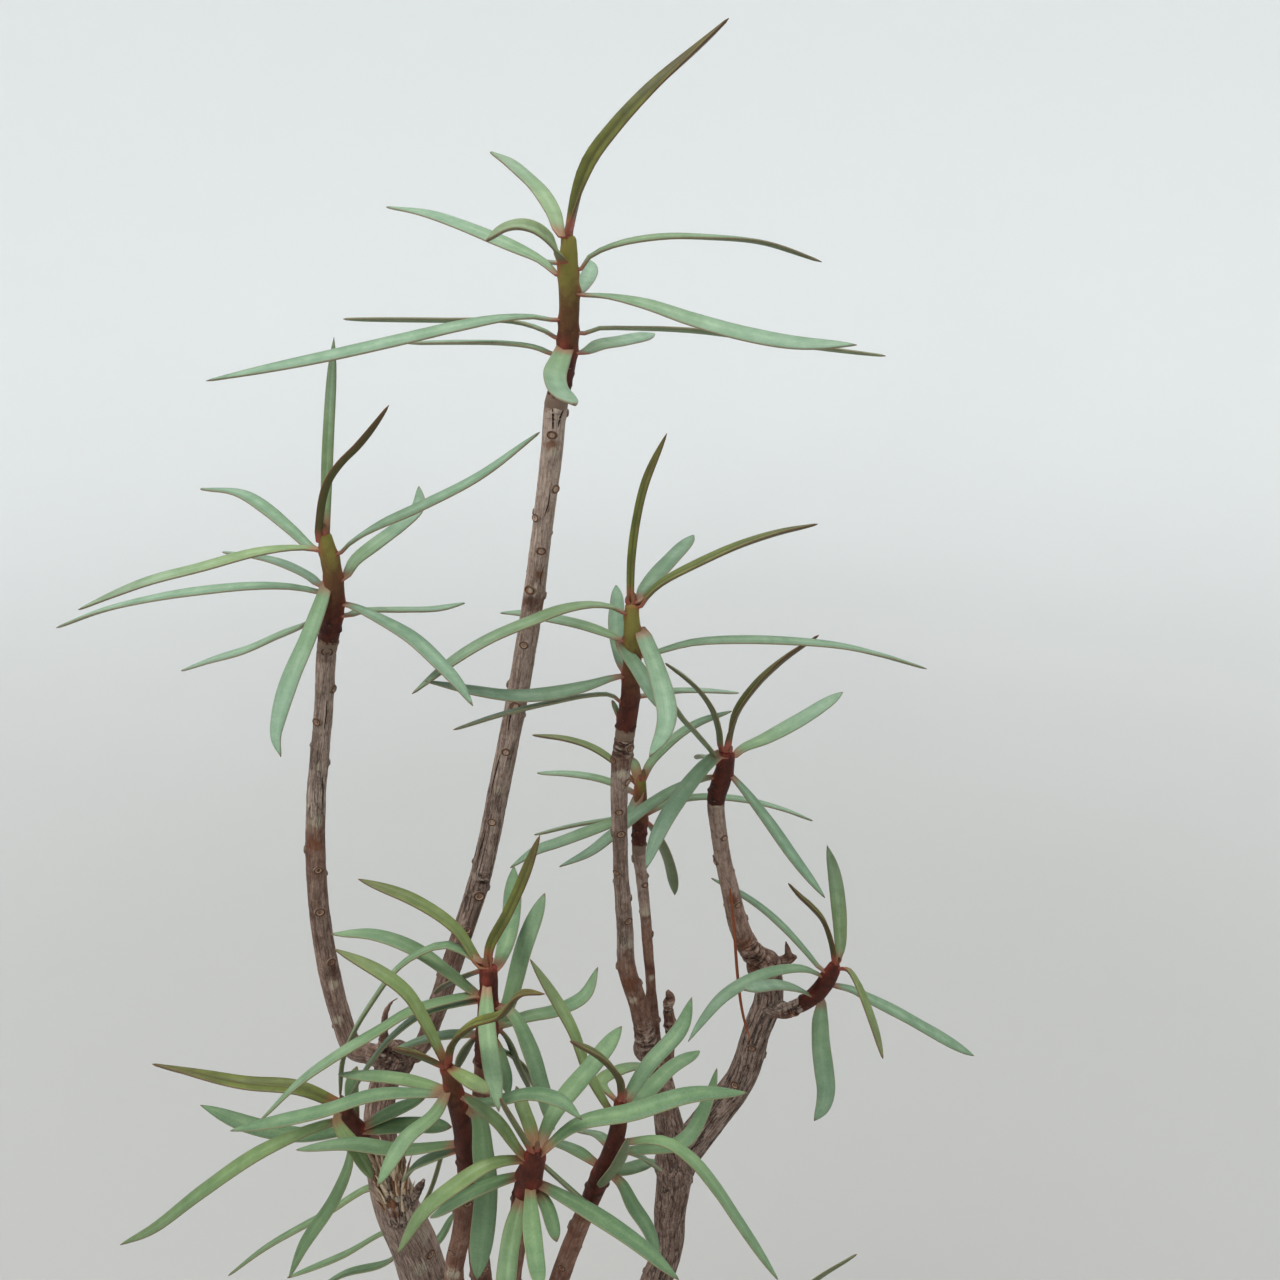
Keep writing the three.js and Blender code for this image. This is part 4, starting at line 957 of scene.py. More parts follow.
def growAxis(heap, stem, leafyFrom, roots, seed, olive):
    # the young stem that carries the leaves: a round shoot with a cushion below each leaf
    spans = len(stem) - 1
    curve, halves = stemLine(stem)
    shares = np.linspace(leafyFrom / spans, 1, 400)
    fine = curvePoints(curve, shares)
    gone = travelled(fine)
    count = int(gone[-1] / shootSkin["step"]) + 2
    spots = np.linspace(0, gone[-1], count)
    shares = np.interp(spots, gone, shares)
    path = curvePoints(curve, shares)
    radius = np.interp(shares * spans, range(spans + 1), halves)
    path = np.vstack([path[0] - unit(path[1] - path[0]) * shootSkin["intoWood"], path])
    radius = np.concatenate([[radius[0] * 0.9], radius])
    spots = np.concatenate([[-shootSkin["intoWood"]], spots])
    left = (spots[-1] - spots) / shootSkin["tipRound"]
    radius = radius * np.sqrt(1 - (1 - np.clip(left, 0, 1)) ** 2 * 0.96)
    side, across = framesAlong(path)[1:]
    turn = np.linspace(0, 2 * math.pi, shootSkin["sides"], endpoint=False)
    swell = np.zeros((len(path), len(turn)))
    blush = np.zeros_like(swell)
    shed = np.zeros_like(swell)

    def beside(place, angle, wide):
        gap = (turn - angle + math.pi) % (2 * math.pi) - math.pi
        return np.exp(-((gap * radius[place] / wide) ** 2))

    lowest = spots[-1]
    for root, outward in roots:
        nearest = int(np.argmin(np.linalg.norm(path - root, axis=1)))
        lowest = min(lowest, spots[nearest])
        angle = math.atan2(outward.dot(across[nearest]), outward.dot(side[nearest]))
        sidewise = beside(nearest, angle, shootSkin["cushionWide"])
        rise = spots - spots[nearest]
        lump = shootSkin["cushion"] * np.exp(-((rise / shootSkin["cushionLong"]) ** 2))
        far = shootSkin["trailLong"]
        trail = shootSkin["trail"] * np.exp(-(((rise + far) / far) ** 2))
        swell += (lump + trail)[:, None] * sidewise
        blush += np.exp(-(((rise - 0.5) / 1.7) ** 2))[:, None] * sidewise
    # lower down, the scars of leaves that were shed
    for order, spot in enumerate(np.arange(0.2, lowest - shootSkin["clear"], shootSkin["shedStep"])):
        nearest = int(np.argmin(abs(spots - spot)))
        sidewise = beside(nearest, order * golden + seed, shootSkin["shedWide"])
        lump = np.exp(-(((spots - spot) / shootSkin["shedLong"]) ** 2))[:, None] * sidewise
        swell += shootSkin["shed"] * lump
        shed = np.maximum(shed, lump)
    swell = np.minimum(swell, 0.8) * ease(left, 0, 1)[:, None]
    out = (radius[:, None] + swell)[..., None]
    facing = side[:, None] * np.cos(turn)[:, None] + across[:, None] * np.sin(turn)[:, None]
    ring = path[:, None] + facing * out
    up = spots / spots[-1] * olive
    if olive > shootSkin["peelsAbove"]:
        up = up - np.clip(1 - spots / shootSkin["peeling"], 0, 1)
    up = np.broadcast_to(up[:, None], blush.shape)
    tone = np.stack([up, np.minimum(blush, 1), shed], -1)
    cosine, sine = np.broadcast_to(np.cos(turn), up.shape), np.broadcast_to(np.sin(turn), up.shape)
    place = np.stack([cosine * 2.5, sine * 2.5, np.broadcast_to(spots[:, None] + 50 * seed, up.shape)], -1)
    pile(
        heap, ring.reshape(-1, 3), ringFaces(len(path), len(turn)), 1,
        shootTone=tone.reshape(-1, 3), shootPlace=place.reshape(-1, 3),
    )
    return path


def makeLeafFinish():
    material, tree, shader = newFinish("waxy_leaf", Specular_IOR_Level=0.24, Subsurface_Weight=0.06)
    shader.inputs["Subsurface Radius"].default_value = (0.4, 1.0, 0.3)
    shader.inputs["Subsurface Scale"].default_value = 0.0006
    x, along, under = split(marked(tree, "blade"))
    youth, seed, low = split(marked(tree, "leafTone"))
    place = marked(tree, "leafPlace")
    wide, fromRoot, toTip = split(place)
    shift = joined(times(seed, 53.0), 0.0, 0.0)  # no two leaves have the same patches
    own = vectored("ADD", vectored("MULTIPLY", place, (1.0, 1.0, 0.0)), shift)
    patches = mottled(own, 0.16, 0.3, 0.72)
    shade = plus(times(patches, 0.6), times(seed, 0.4))

    fresh = minus(1.0, youth)
    fresh = times(fresh, 1.1, eased(along, 0.25, 0.8))
    fresh = times(youth, eased(fresh, 0.0, 1.0, 1.0, 0.1))
    distance = worked("ABSOLUTE", x)
    notUnder = minus(1.0, under)
    mature = times(eased(youth, 0.2, 0.9, 1.0, 0.15), eased(low, 0.0, 1.0, 1.0, 0.8))
    upper = mixed(shade, (96, 130, 102), (139, 165, 141))
    # low leaves get greener and darker tones: the darkening is painted shade for the leaves low in the plant
    upper = mixed(low, upper, mixed(shade, (66, 102, 58), (108, 136, 88)))
    green = times(eased(along, 0.75, 0.15, 0.0, 0.5), eased(seed, 0.3, 0.9))
    upper = mixed(green, upper, (110, 142, 84))
    # painted shade: the margins, which roll away from the light, are painted darker and greyer, more on some
    # leaves than on others
    margin = times(eased(distance, 0.25, 0.9, 0.0, 0.55), eased(seed, 0.0, 0.7, 1.0, 0.3))
    upper = mixed(margin, upper, (72, 100, 74))
    oldest = mixed(shade, (112, 124, 56), (144, 156, 84))
    newest = mixed(shade, (66, 64, 16), (112, 114, 36))
    upper = mixed(fresh, upper, mixed(eased(youth, 0.6, 0.95), oldest, newest))
    lower = mixed(shade, (84, 96, 60), (114, 126, 86))
    lower = mixed(youth, lower, (82, 74, 40))
    colour = mixed(under, upper, lower)

    lengthwise = joined(wide, 0.0, fromRoot)
    lengthwise = vectored("ADD", lengthwise, shift)
    veins = grained(lengthwise, 2.2, 0.07, 0.05, 0.1)
    pale = times(veins["Streaks"], times(mature, 0.2))
    colour = mixed(pale, colour, (150, 174, 144))
    colour = mixed(times(veins["Cracks"], 0.16), colour, (64, 88, 58))
    band = times(eased(distance, 0.42, 0.0), eased(along, 1.0, 0.6, 0.1, 0.55))
    band = times(band, eased(patches, 0.0, 1.0, 0.3, 0.75))
    band = times(band, eased(youth, 0.5, 0.85, 0.7, 1.4))
    # low leaves have a darker rib as well, part of the same painted shade
    rib = mixed(low, (160, 187, 152), (142, 170, 124))
    colour = mixed(times(band, notUnder), colour, mixed(eased(youth, 0.6, 0.85), rib, (52, 38, 24)))
    rim = mixed(low, (146, 124, 98), (150, 146, 104))
    rim = mixed(youth, rim, (104, 62, 44))
    colour = mixed(eased(distance, 0.86, 1.0, 0.0, 0.7), colour, rim)

    bronze = times(youth, eased(along, 0.5, 1.0, 0.0, 0.5))
    colour = mixed(bronze, colour, (86, 58, 46))
    foot = times(eased(fromRoot, 4.8, 0.8), eased(notUnder, 0.0, 1.0, 0.95, 0.6))
    colour = mixed(foot, colour, (158, 82, 68))
    colour = mixed(eased(toTip, 1.6, 0.3, 0.0, 0.75), colour, (104, 70, 52))
    flaws = specked(own, 0.5, 0.16, 0.1)
    colour = mixed(times(flaws, 0.3), colour, (112, 96, 62))
    bloom = mottled(own, 1.4, 0.35, 0.7)
    waxy = times(bloom, times(mature, 0.08))
    colour = mixed(waxy, colour, (190, 205, 190))
    gloss = eased(bloom, 0.0, 1.0, 0.42, 0.6)
    height = plus(veins["Streaks"], times(bloom, 0.3))
    finishWith(shader, colour, gloss, height, 0.06, 0.6)
    return material


def makeShootFinish():
    material, tree, shader = newFinish("young_stem", Roughness=0.6, Specular_IOR_Level=0.2)
    up, blush, shed = split(marked(tree, "shootTone"))
    place = marked(tree, "shootPlace")
    patches = mottled(place, 0.35, 0.3, 0.7)
    height = plus(up, times(minus(patches, 0.5), 0.12))
    colour = mixed(patches, (62, 25, 17), (90, 42, 29))
    colour = mixed(eased(height, 0.22, 0.6), colour, (96, 66, 38))
    colour = mixed(eased(height, 0.55, 0.85), colour, (128, 120, 58))
    colour = mixed(times(blush, 0.65), colour, (142, 62, 50))
    wrinkles = grained(place, 1.6, 0.4, 0.05, 0.4)
    woody = eased(up, 0.7, 0.2)
    lines = times(wrinkles["Cracks"], eased(woody, 0.0, 1.0, 0.08, 0.4))
    colour = mixed(lines, colour, (44, 28, 24))
    colour = mixed(eased(shed, 0.1, 0.45, 0.0, 0.55), colour, (42, 26, 22))
    worn = mottled(place, 1.1, 0.42, 0.58)
    colour = mixed(eased(shed, 0.6, 0.9, 0.0, 0.7), colour, (134, 92, 70))
    ragged = plus(eased(up, 0.0, -0.8), times(worn, 0.3))
    colour = mixed(eased(ragged, 0.5, 0.8, 0.0, 0.85), colour, (128, 108, 92))
    flecks = specked(place, 0.9, 0.2, 0.3)
    colour = mixed(times(flecks, 0.18), colour, (160, 134, 104))
    bumps = times(wrinkles["Streaks"], eased(woody, 0.0, 1.0, 0.3, 1.0))
    finishWith(shader, colour, None, bumps, 0.24, 0.9)
    return material


leafFinish = makeLeafFinish()
shootFinish = makeShootFinish()


def makeLeafyShoot(name, order, stem, leafyFrom, leaves, low, olive, young, blunt, bases, turned=None):
    draw = random.Random(f"shoot {name}")
    spans = len(stem) - 1
    steps = (spans - leafyFrom) * lineSteps
    line = curvePoints(stemLine(stem)[0], (leafyFrom + np.arange(steps + 1) / lineSteps) / spans)
    growth = unit(line[-1] - line[0])
    clearOfWood = line[lineSteps // 2:]
    heap = newHeap()
    roots = []
    for place, leaf in enumerate(leaves, 1):
        points, width, nearest = leafRoute(leaf, clearOfWood)
        youth = min(1, max(young.get(place, 0), 0.12 * draw.random()))
        growBlade(
            heap, points, width, growth, draw, tone=(youth, draw.random(), low),
            turned=(turned or {}).get(place, (0, 0)), base=bases.get(place), fold=max(0, youth - 0.3) * 36,
            tapering=blade["blunt" if place in blunt else "tapering"],
        )
        reach = evenPoints(points, [0, 0.04])[0][1] - clearOfWood[nearest]
        roots.append((clearOfWood[nearest], unit(reach - growth * reach.dot(growth))))
    path = growAxis(heap, stem, leafyFrom, roots, order * 0.37 % 1, olive)

    along, side, across = framesAlong(path)
    for bud in range(2):  # small leaves at the tip
        turn = bud * golden + order
        out = side[-1] * math.cos(turn) + across[-1] * math.sin(turn)
        long = 3.2 + 1.3 * bud
        base = path[-1] - along[-1] * (1.2 + 0.5 * bud)
        points = [base, base + along[-1] * long * 0.5 + out * 1.1, base + along[-1] * long + out * 1.0]
        growBlade(
            heap, points, 1.7 + 0.15 * bud, along[-1], draw, base=0.8, fold=30, thick=0.8,
            tone=(0.75, draw.random(), low), start=0.5,
        )
    keep(pieceFrom(f"leafy_{name}", heap, leafFinish, shootFinish), "foliage", f"shoot_{name}")


for order, (name, stemData) in enumerate(leafyStems.items()):
    makeLeafyShoot(name, order, **stemData)
print("leafy shoots")

# Wood
wood = {
    "voxel": 0.6, "smoothing": 5, "sides": 20, "step": 0.9,
    "relief": 0.34, "across": 0.55, "along": 0.16, "lump": 0.3, "lumpScale": 0.16, "wrinkle": 3.2,
    "crownTurns": 40, "scarSwell": 0.3, "scarReach": 1.6, "trunkSpacing": 13, "stemSpacing": 6.5,
}
crown = {
    "profile": [(8, 54), (12, 78), (16, 98), (17, 110), (15.5, 118), (11, 127), (5, 133)],
    "lumps": 1.1, "lumpyFrom": 104,
}

# Bark down each stem: how far down it is seen, and from 0 to 1 how pale, how red and how cracked it is there
tones = {
    "top": [
        (402, 0.1, 0.5, 0.5), (409, 0.8, 0.1, 0.4), (590, 0.65, 0.15, 0.4), (602, 0.25, 0.35, 0.4),
        (622, 0.6, 0.15, 0.4), (820, 0.55, 0.1, 0.8), (900, 0.5, 0.15, 0.9), (950, 0.3, 0.3, 0.6),
        (1060, 0.3, 0.3, 0.6),
    ],
    "left": [
        (648, 0.55, 0.2, 0.5), (812, 0.7, 0.1, 0.8), (830, 0.35, 0.55, 0.5), (862, 0.3, 0.5, 0.4),
        (905, 0.45, 0.25, 0.6), (1060, 0.4, 0.3, 0.6),
    ],
    "middle": [
        (735, 0.2, 0.4, 0.5), (768, 0.25, 0.35, 0.6), (775, 0.7, 0.1, 0.5), (800, 0.45, 0.25, 0.5),
        (925, 0.5, 0.2, 0.6), (945, 0.75, 0.2, 0.7), (968, 0.35, 0.75, 0.4), (1010, 0.35, 0.7, 0.5),
        (1048, 0.3, 0.3, 0.7),
    ],
    "rear_middle": [
        (825, 0.15, 0.4, 0.4), (845, 0.6, 0.3, 0.3), (905, 0.7, 0.25, 0.3), (935, 0.25, 0.7, 0.1),
        (1040, 0.25, 0.55, 0.2),
    ],
    "right": [
        (798, 0.25, 0.5, 0.3), (806, 0.7, 0.25, 0.2), (880, 0.6, 0.35, 0.25), (930, 0.5, 0.55, 0.4),
        (968, 0.35, 0.5, 0.5), (1000, 0.5, 0.15, 1.0), (1100, 0.45, 0.1, 1.0), (1164, 0.5, 0.1, 1.0),
    ],
    "right_twig": [(1003, 0.7, 0.2, 0.9), (1011, 0.85, 0.15, 0.9), (1018, 0.4, 0.9, 0.5)],
    "low": [(900, 0.12, 0.75, 0.1), (1290, 0.2, 0.65, 0.3)],
    "left_trunk": [
        (1060, 0.35, 0.3, 0.8), (1165, 0.55, 0.35, 0.6), (1200, 0.85, 0.3, 0.5), (1270, 0.7, 0.3, 0.7),
        (1600, 0.4, 0.3, 0.9),
    ],
    "right_trunk": [
        (1048, 0.35, 0.4, 0.7), (1109, 0.4, 0.25, 0.8), (1250, 0.45, 0.2, 0.9), (1600, 0.4, 0.3, 0.9),
    ],
    "front_trunk": [(1200, 0.25, 0.5, 0.4), (1600, 0.35, 0.3, 0.8)],
    "dead": [(900, 0.3, 0.6, 0.6), (1060, 0.3, 0.6, 0.6), (1170, 0.8, 0.3, 0.9), (1250, 0.8, 0.3, 0.9)],
    "crown": [(1200, 0.3, 0.3, 0.9), (1700, 0.25, 0.3, 0.9)],
}
# The frame is made in three limbs, which meet at the woody base
limbs = {
    "left_limb": [
        "top", "left", "low_left", "lowest_left", "trunk_0", "dead_0", "dead_1", "dead_4", "knot_0",
    ],
    "right_limb": [
        "middle", "rear_middle", "right", "right_twig", "trunk_1", "dead_2", "dead_3", "dead_5",
        "knot_1", "knot_2", "knot_3",
    ],
    "woody_base": [
        "front_upper", "front_left", "front_centre", "front_right", "low_right", "trunk_2", "trunk_3",
        "crown",
    ],
}

# Places seen on the bark: where, and how large in millimetres
stains = {
    "pale": [
        (532, 590, 2.2), (553, 452, 1.5), (319, 767, 1.6), (316, 822, 2.6), (334, 985, 2.0),
        (338, 1020, 2.0), (622, 775, 2.2), (632, 1000, 2.0), (640, 847, 2.0), (652, 978, 1.4),
        (629, 945, 2.6), (645, 912, 2.0), (717, 803, 2.2), (443, 1250, 3.6), (398, 1195, 3.0),
        (420, 1270, 3.6), (425, 1235, 3.4), (452, 1275, 3.4), (409, 1215, 3.0), (560, 480, 1.4),
        (500, 790, 1.8),
    ],
    "dark": [
        (531, 602, 2.6), (555, 402, 1.6), (484, 880, 1.8),
        (463, 950, 2.2), (622, 752, 3.2), (640, 832, 2.8), (757, 960, 3.0), (327, 651, 1.6), (420, 1186, 2.0),
    ],
    "rust": [
        (314, 845, 3.2), (630, 985, 3.6), (745, 945, 3.4), (792, 1016, 3.0), (733, 900, 2.2), (752, 968, 2.6),
        (395, 1215, 3.0), (540, 575, 1.8), (550, 446, 2.4),
    ],
    "knotty": [  # wrinkled across, round forks and where the stem stopped for a season
        (757, 955, 6.0), (772, 966, 4.0), (792, 1012, 4.5), (622, 750, 3.5), (640, 832, 3.0),
        (385, 1056, 7.0), (648, 1040, 6.0), (668, 1006, 4.0), (671, 1032, 4.0), (553, 412, 2.0),
        (404, 1190, 5.0), (484, 880, 2.5),
    ],
}
scarPlaces = [  # where each is seen, and its width
    (547, 402, 2.0), (552, 435, 2.3), (555, 489, 2.5), (536, 518, 2.3), (541, 551, 2.3), (530, 590, 2.6),
    (527, 564, 2.0), (537, 472, 2.0), (515, 706, 2.6), (524, 645, 2.2), (506, 752, 2.2), (492, 822, 2.3),
    (479, 896, 3.0), (467, 930, 2.3), (327, 651, 2.8), (333, 689, 2.4), (317, 722, 2.4), (327, 793, 2.2),
    (305, 820, 2.2), (320, 912, 2.6), (318, 870, 2.2), (331, 962, 2.3), (627, 782, 2.4), (621, 834, 2.5),
    (628, 921, 2.5), (617, 872, 2.1), (619, 812, 2.1), (614, 760, 2.4), (630, 748, 2.4), (657, 955, 1.6),
    (645, 885, 1.9), (724, 838, 2.1), (716, 862, 2.2), (738, 905, 2.2), (735, 1085, 2.6), (752, 1048, 2.6),
    (666, 1003, 1.8), (671, 1014, 1.6), (672, 1030, 2.0), (668, 1046, 1.8), (393, 1075, 2.4),
    (410, 1052, 2.4), (430, 1254, 2.8),
]


def woodyRoutes():
    # each stem's rows, where its bare part ends and the tones of its bark
    routes = {}
    for name, stemData in leafyStems.items():
        routes[name] = (stemData["stem"], stemData["leafyFrom"], name if name in tones else "low")
    names = ["left_trunk", "right_trunk", "front_trunk", "front_trunk"]
    for order, (route, tone) in enumerate(zip(trunks, names)):
        routes[f"trunk_{order}"] = (route, len(route) - 1, tone)
    for order, route in enumerate(deadWood):
        routes[f"dead_{order}"] = (route, len(route) - 1, "dead")
    return routes


def woodySamples(route, last):
    # centres and radii at even steps from the fork to where the leafy shoot begins
    spans = len(route) - 1
    curve, halves = stemLine(route)
    gone = travelled(curvePoints(curve, np.linspace(0, last / spans, 60 * last)))
    spots = np.linspace(0, gone[-1], max(6, int(gone[-1] / wood["step"])))
    shares = np.interp(spots, gone, np.linspace(0, last / spans, 60 * last))
    return curvePoints(curve, shares), np.interp(shares * spans, range(spans + 1), halves), spots


def makeWoodHeap(limb):
    heap = newHeap()
    centreLines = []
    turn = np.linspace(0, 2 * math.pi, wood["sides"], endpoint=False)[:, None]
    for order, (name, (route, last, tone)) in enumerate(woodyRoutes().items()):
        if name not in limb:
            continue
        path, radius, spots = woodySamples(route, last)
        along, side, across = framesAlong(path)
        facing = side[:, None] * np.cos(turn) + across[:, None] * np.sin(turn)
        ring = path[:, None] + facing * radius[:, None, None]
        pile(heap, ring.reshape(-1, 3), ringFaces(len(path), wood["sides"]))
        centreLines.append((path, radius, spots + 211 * order, along, side, tone))
    for order, (centre, radius) in enumerate(knots):
        if f"knot_{order}" not in limb:
            continue
        ball = bmesh.new()
        bmesh.ops.create_icosphere(ball, subdivisions=3, radius=radius * 0.94)
        points = np.array([vertex.co for vertex in ball.verts]) + centre
        pile(heap, points, [tuple(vertex.index for vertex in face.verts) for face in ball.faces])
        ball.free()
    if "crown" in limb:
        pileCrown(heap, centreLines)
    return heap, centreLines


def pileCrown(heap, centreLines):
    heights = np.linspace(crown["profile"][0][1], crown["profile"][-1][1], 60)
    shape = np.array(crown["profile"], float)
    radii = np.interp(heights, shape[:, 1], shape[:, 0])
    profile = [(0, heights[0])] + list(zip(radii, heights)) + [(0, heights[-1])]
    points, faces = lathed(profile, wood["crownTurns"])
    lumps = np.array([noise.noise(Vector(point) * 0.11) for point in points])
    points[:, :2] *= (1 + crown["lumps"] * lumps / 17 * (points[:, 2] > crown["lumpyFrom"]))[:, None]
    pile(heap, points, faces)
    middle = np.column_stack([heights * 0, heights * 0, heights])
    along, side = framesAlong(middle)[:2]
    centreLines.append((middle, radii, heights, along, side, "crown"))


def fuse(name, heap):
    # voxels join the overlapping limbs in one skin, which is then smoothed
    piece = show(name, meshFrom(name, heap, []))
    skin = piece.modifiers.new("skin", "REMESH")
    skin.mode = "VOXEL"
    skin.voxel_size = wood["voxel"] * millimetre
    soft = piece.modifiers.new("soft", "SMOOTH")
    soft.factor = 0.5
    soft.iterations = wood["smoothing"]
    return applied(piece)


def nearestLimb(points, centreLines):
    # for each point, the sample of the centre lines that it lies closest round, in shares of its radius
    centres = np.vstack([line[0] for line in centreLines])
    radii = np.concatenate([line[1] for line in centreLines])
    best = np.empty(len(points), int)
    chunk = 4000
    squares = (centres**2).sum(1)
    for start in range(0, len(points), chunk):
        some = points[start:start + chunk]
        gaps = (some**2).sum(1)[:, None] + squares - 2 * some @ centres.T
        best[start:start + chunk] = np.argmin(gaps / radii**2, axis=1)
    return best


def stackLines(centreLines, best):
    # what the centre lines say at the chosen samples: centre, place along, direction and side
    columns = [np.concatenate([line[column] for line in centreLines])[best] for column in (0, 2, 3, 4)]
    kinds = np.concatenate([[line[5]] * len(line[0]) for line in centreLines])[best]
    return (*columns, kinds)


def nearTo(points, hits):
    # 1 at the middle of each hit, and less and less round it
    near = np.zeros(len(points))
    for spot, size in hits:
        gone = np.linalg.norm(points - spot, axis=1)
        near = np.maximum(near, np.exp(-((gone / size) ** 2)))
    return near


def markBark(mesh, centreLines, hits):
    points = verticesOf(mesh)
    centres, spots, along, side, kinds = stackLines(centreLines, nearestLimb(points, centreLines))
    gap = points - centres
    forward = (gap * along).sum(1)
    place = np.column_stack([(gap * side).sum(1), (gap * np.cross(along, side)).sum(1), spots + forward])
    mark(mesh, "barkPlace", place)
    down = seenDown(points) + np.array([noise.noise(Vector(point) * 0.6) for point in points]) * 12
    tone = np.zeros((len(points), 3))
    for kind, rows in tones.items():
        table = np.array(rows, float)
        chosen = kinds == kind
        for column in range(3):
            tone[chosen, column] = np.interp(down[chosen], table[:, 0], table[:, column + 1])
    mark(mesh, "barkTone", tone)
    stain = np.column_stack([nearTo(points, hits[kind]) for kind in ("pale", "dark", "rust")])
    mark(mesh, "barkStain", stain)
    mark(mesh, "knotty", nearTo(points, hits["knotty"]), "FLOAT")
    scars = [(spot, wood["scarReach"] * size / 2.4) for spot, size in hits["scars"]]
    mark(mesh, "swell", wood["scarSwell"] * nearTo(points, scars), "FLOAT")


def treeOf(mesh):
    corners = [Vector(point) for point in verticesOf(mesh)]
    return BVHTree.FromPolygons(corners, [face.vertices for face in mesh.polygons])


def hitFrom(tree, across, down):
    # the first place on the bark that the camera sees there, the way it faces and how far it is
    sight = unit(seen(across, down, 0) - viewpoint["eye"])
    return tree.ray_cast(Vector(viewpoint["eye"]), Vector(sight))


def seenHits(tree, rows):
    found = [(hitFrom(tree, across, down)[0], size) for across, down, size in rows]
    return [(np.array(spot), size) for spot, size in found if spot is not None]


def scarSpots(tree, centreLines):
    # the seen scars, and others up each bare stem by the turn of its leaves, out of the camera's sight
    spots = seenHits(tree, scarPlaces)
    draw = random.Random("scars")
    for path, radius, gone, along, side, tone in centreLines:
        if tone in ("dead", "crown"):
            continue
        spacing = wood["trunkSpacing" if "trunk" in tone else "stemSpacing"]
        across = np.cross(along, side)
        place = draw.uniform(1, spacing)
        turn = draw.uniform(0, 6)
        while place < gone[-1] - gone[0]:
            here = int(np.argmin(abs(gone - gone[0] - place)))
            out = side[here] * math.cos(turn) + across[here] * math.sin(turn)
            toEye = unit(viewpoint["eye"] - path[here])
            start = path[here] + out * radius[here] * 3
            spot = tree.ray_cast(Vector(start), Vector(-out))[0]
            near = spot is not None and np.linalg.norm(np.array(spot) - path[here]) < radius[here] * 1.5
            if near and out.dot(toEye) < 0.25 or near and tone == "low":
                spots.append((np.array(spot), draw.uniform(1.6, 2.4)))
            place += spacing * draw.uniform(0.75, 1.25)
            turn += golden
    return spots


def crossFolds(place):
    # folds that run round the stem
    return scattered(vectored("MULTIPLY", place, (0.3, 0.3, 0.8)), 1.0, 2.0, 0.6)


def makeReliefTree():
    # lifts the bark in long ridges, lumps and swellings along its own normals
    inputs = {
        "Geometry": shape, "Ridge": 0.0003, "Lump": 0.0002, "Across": 0.5, "Along": 0.1, "Lump Scale": 0.15,
        "Wrinkle": 0.001, "Material": "NodeSocketMaterial",
    }
    tree, entry, leave = newGroup("bark relief", inputs, ["Geometry"], "GeometryNodeTree")
    place = named(tree, "barkPlace")
    stretch = joined(entry["Across"], entry["Across"], entry["Along"])
    ridges = minus(scattered(vectored("MULTIPLY", place, stretch), 1.0, 3.0, 0.55), 0.55)
    cracked = plus(split(named(tree, "barkTone"))[2], 0.25)
    lumps = times(minus(scattered(place, entry["Lump Scale"]), 0.5), entry["Lump"])
    swell = times(named(tree, "swell", "FLOAT"), millimetre)
    lift = plus(times(ridges, entry["Ridge"], cracked), lumps, swell)
    folds = times(minus(crossFolds(place), 0.5), times(named(tree, "knotty", "FLOAT"), entry["Wrinkle"]))
    normal = addNode(tree, "GeometryNodeInputNormal").outputs[0]
    offset = fed("ShaderNodeVectorMath", {0: normal, "Scale": plus(lift, folds)}, operation="SCALE")[0]
    moved = fed("GeometryNodeSetPosition", {"Geometry": entry["Geometry"], "Offset": offset})[0]
    return coatedShape(tree, entry, leave, moved)


def useTree(piece, tree, **values):
    modifier = piece.modifiers.new(tree.name, "NODES")
    modifier.node_group = tree
    for socket in tree.interface.items_tree:
        key = socket.name.replace(" ", "_")
        if socket.in_out == "INPUT" and key in values:
            modifier[socket.identifier] = values[key]
    return applied(piece)


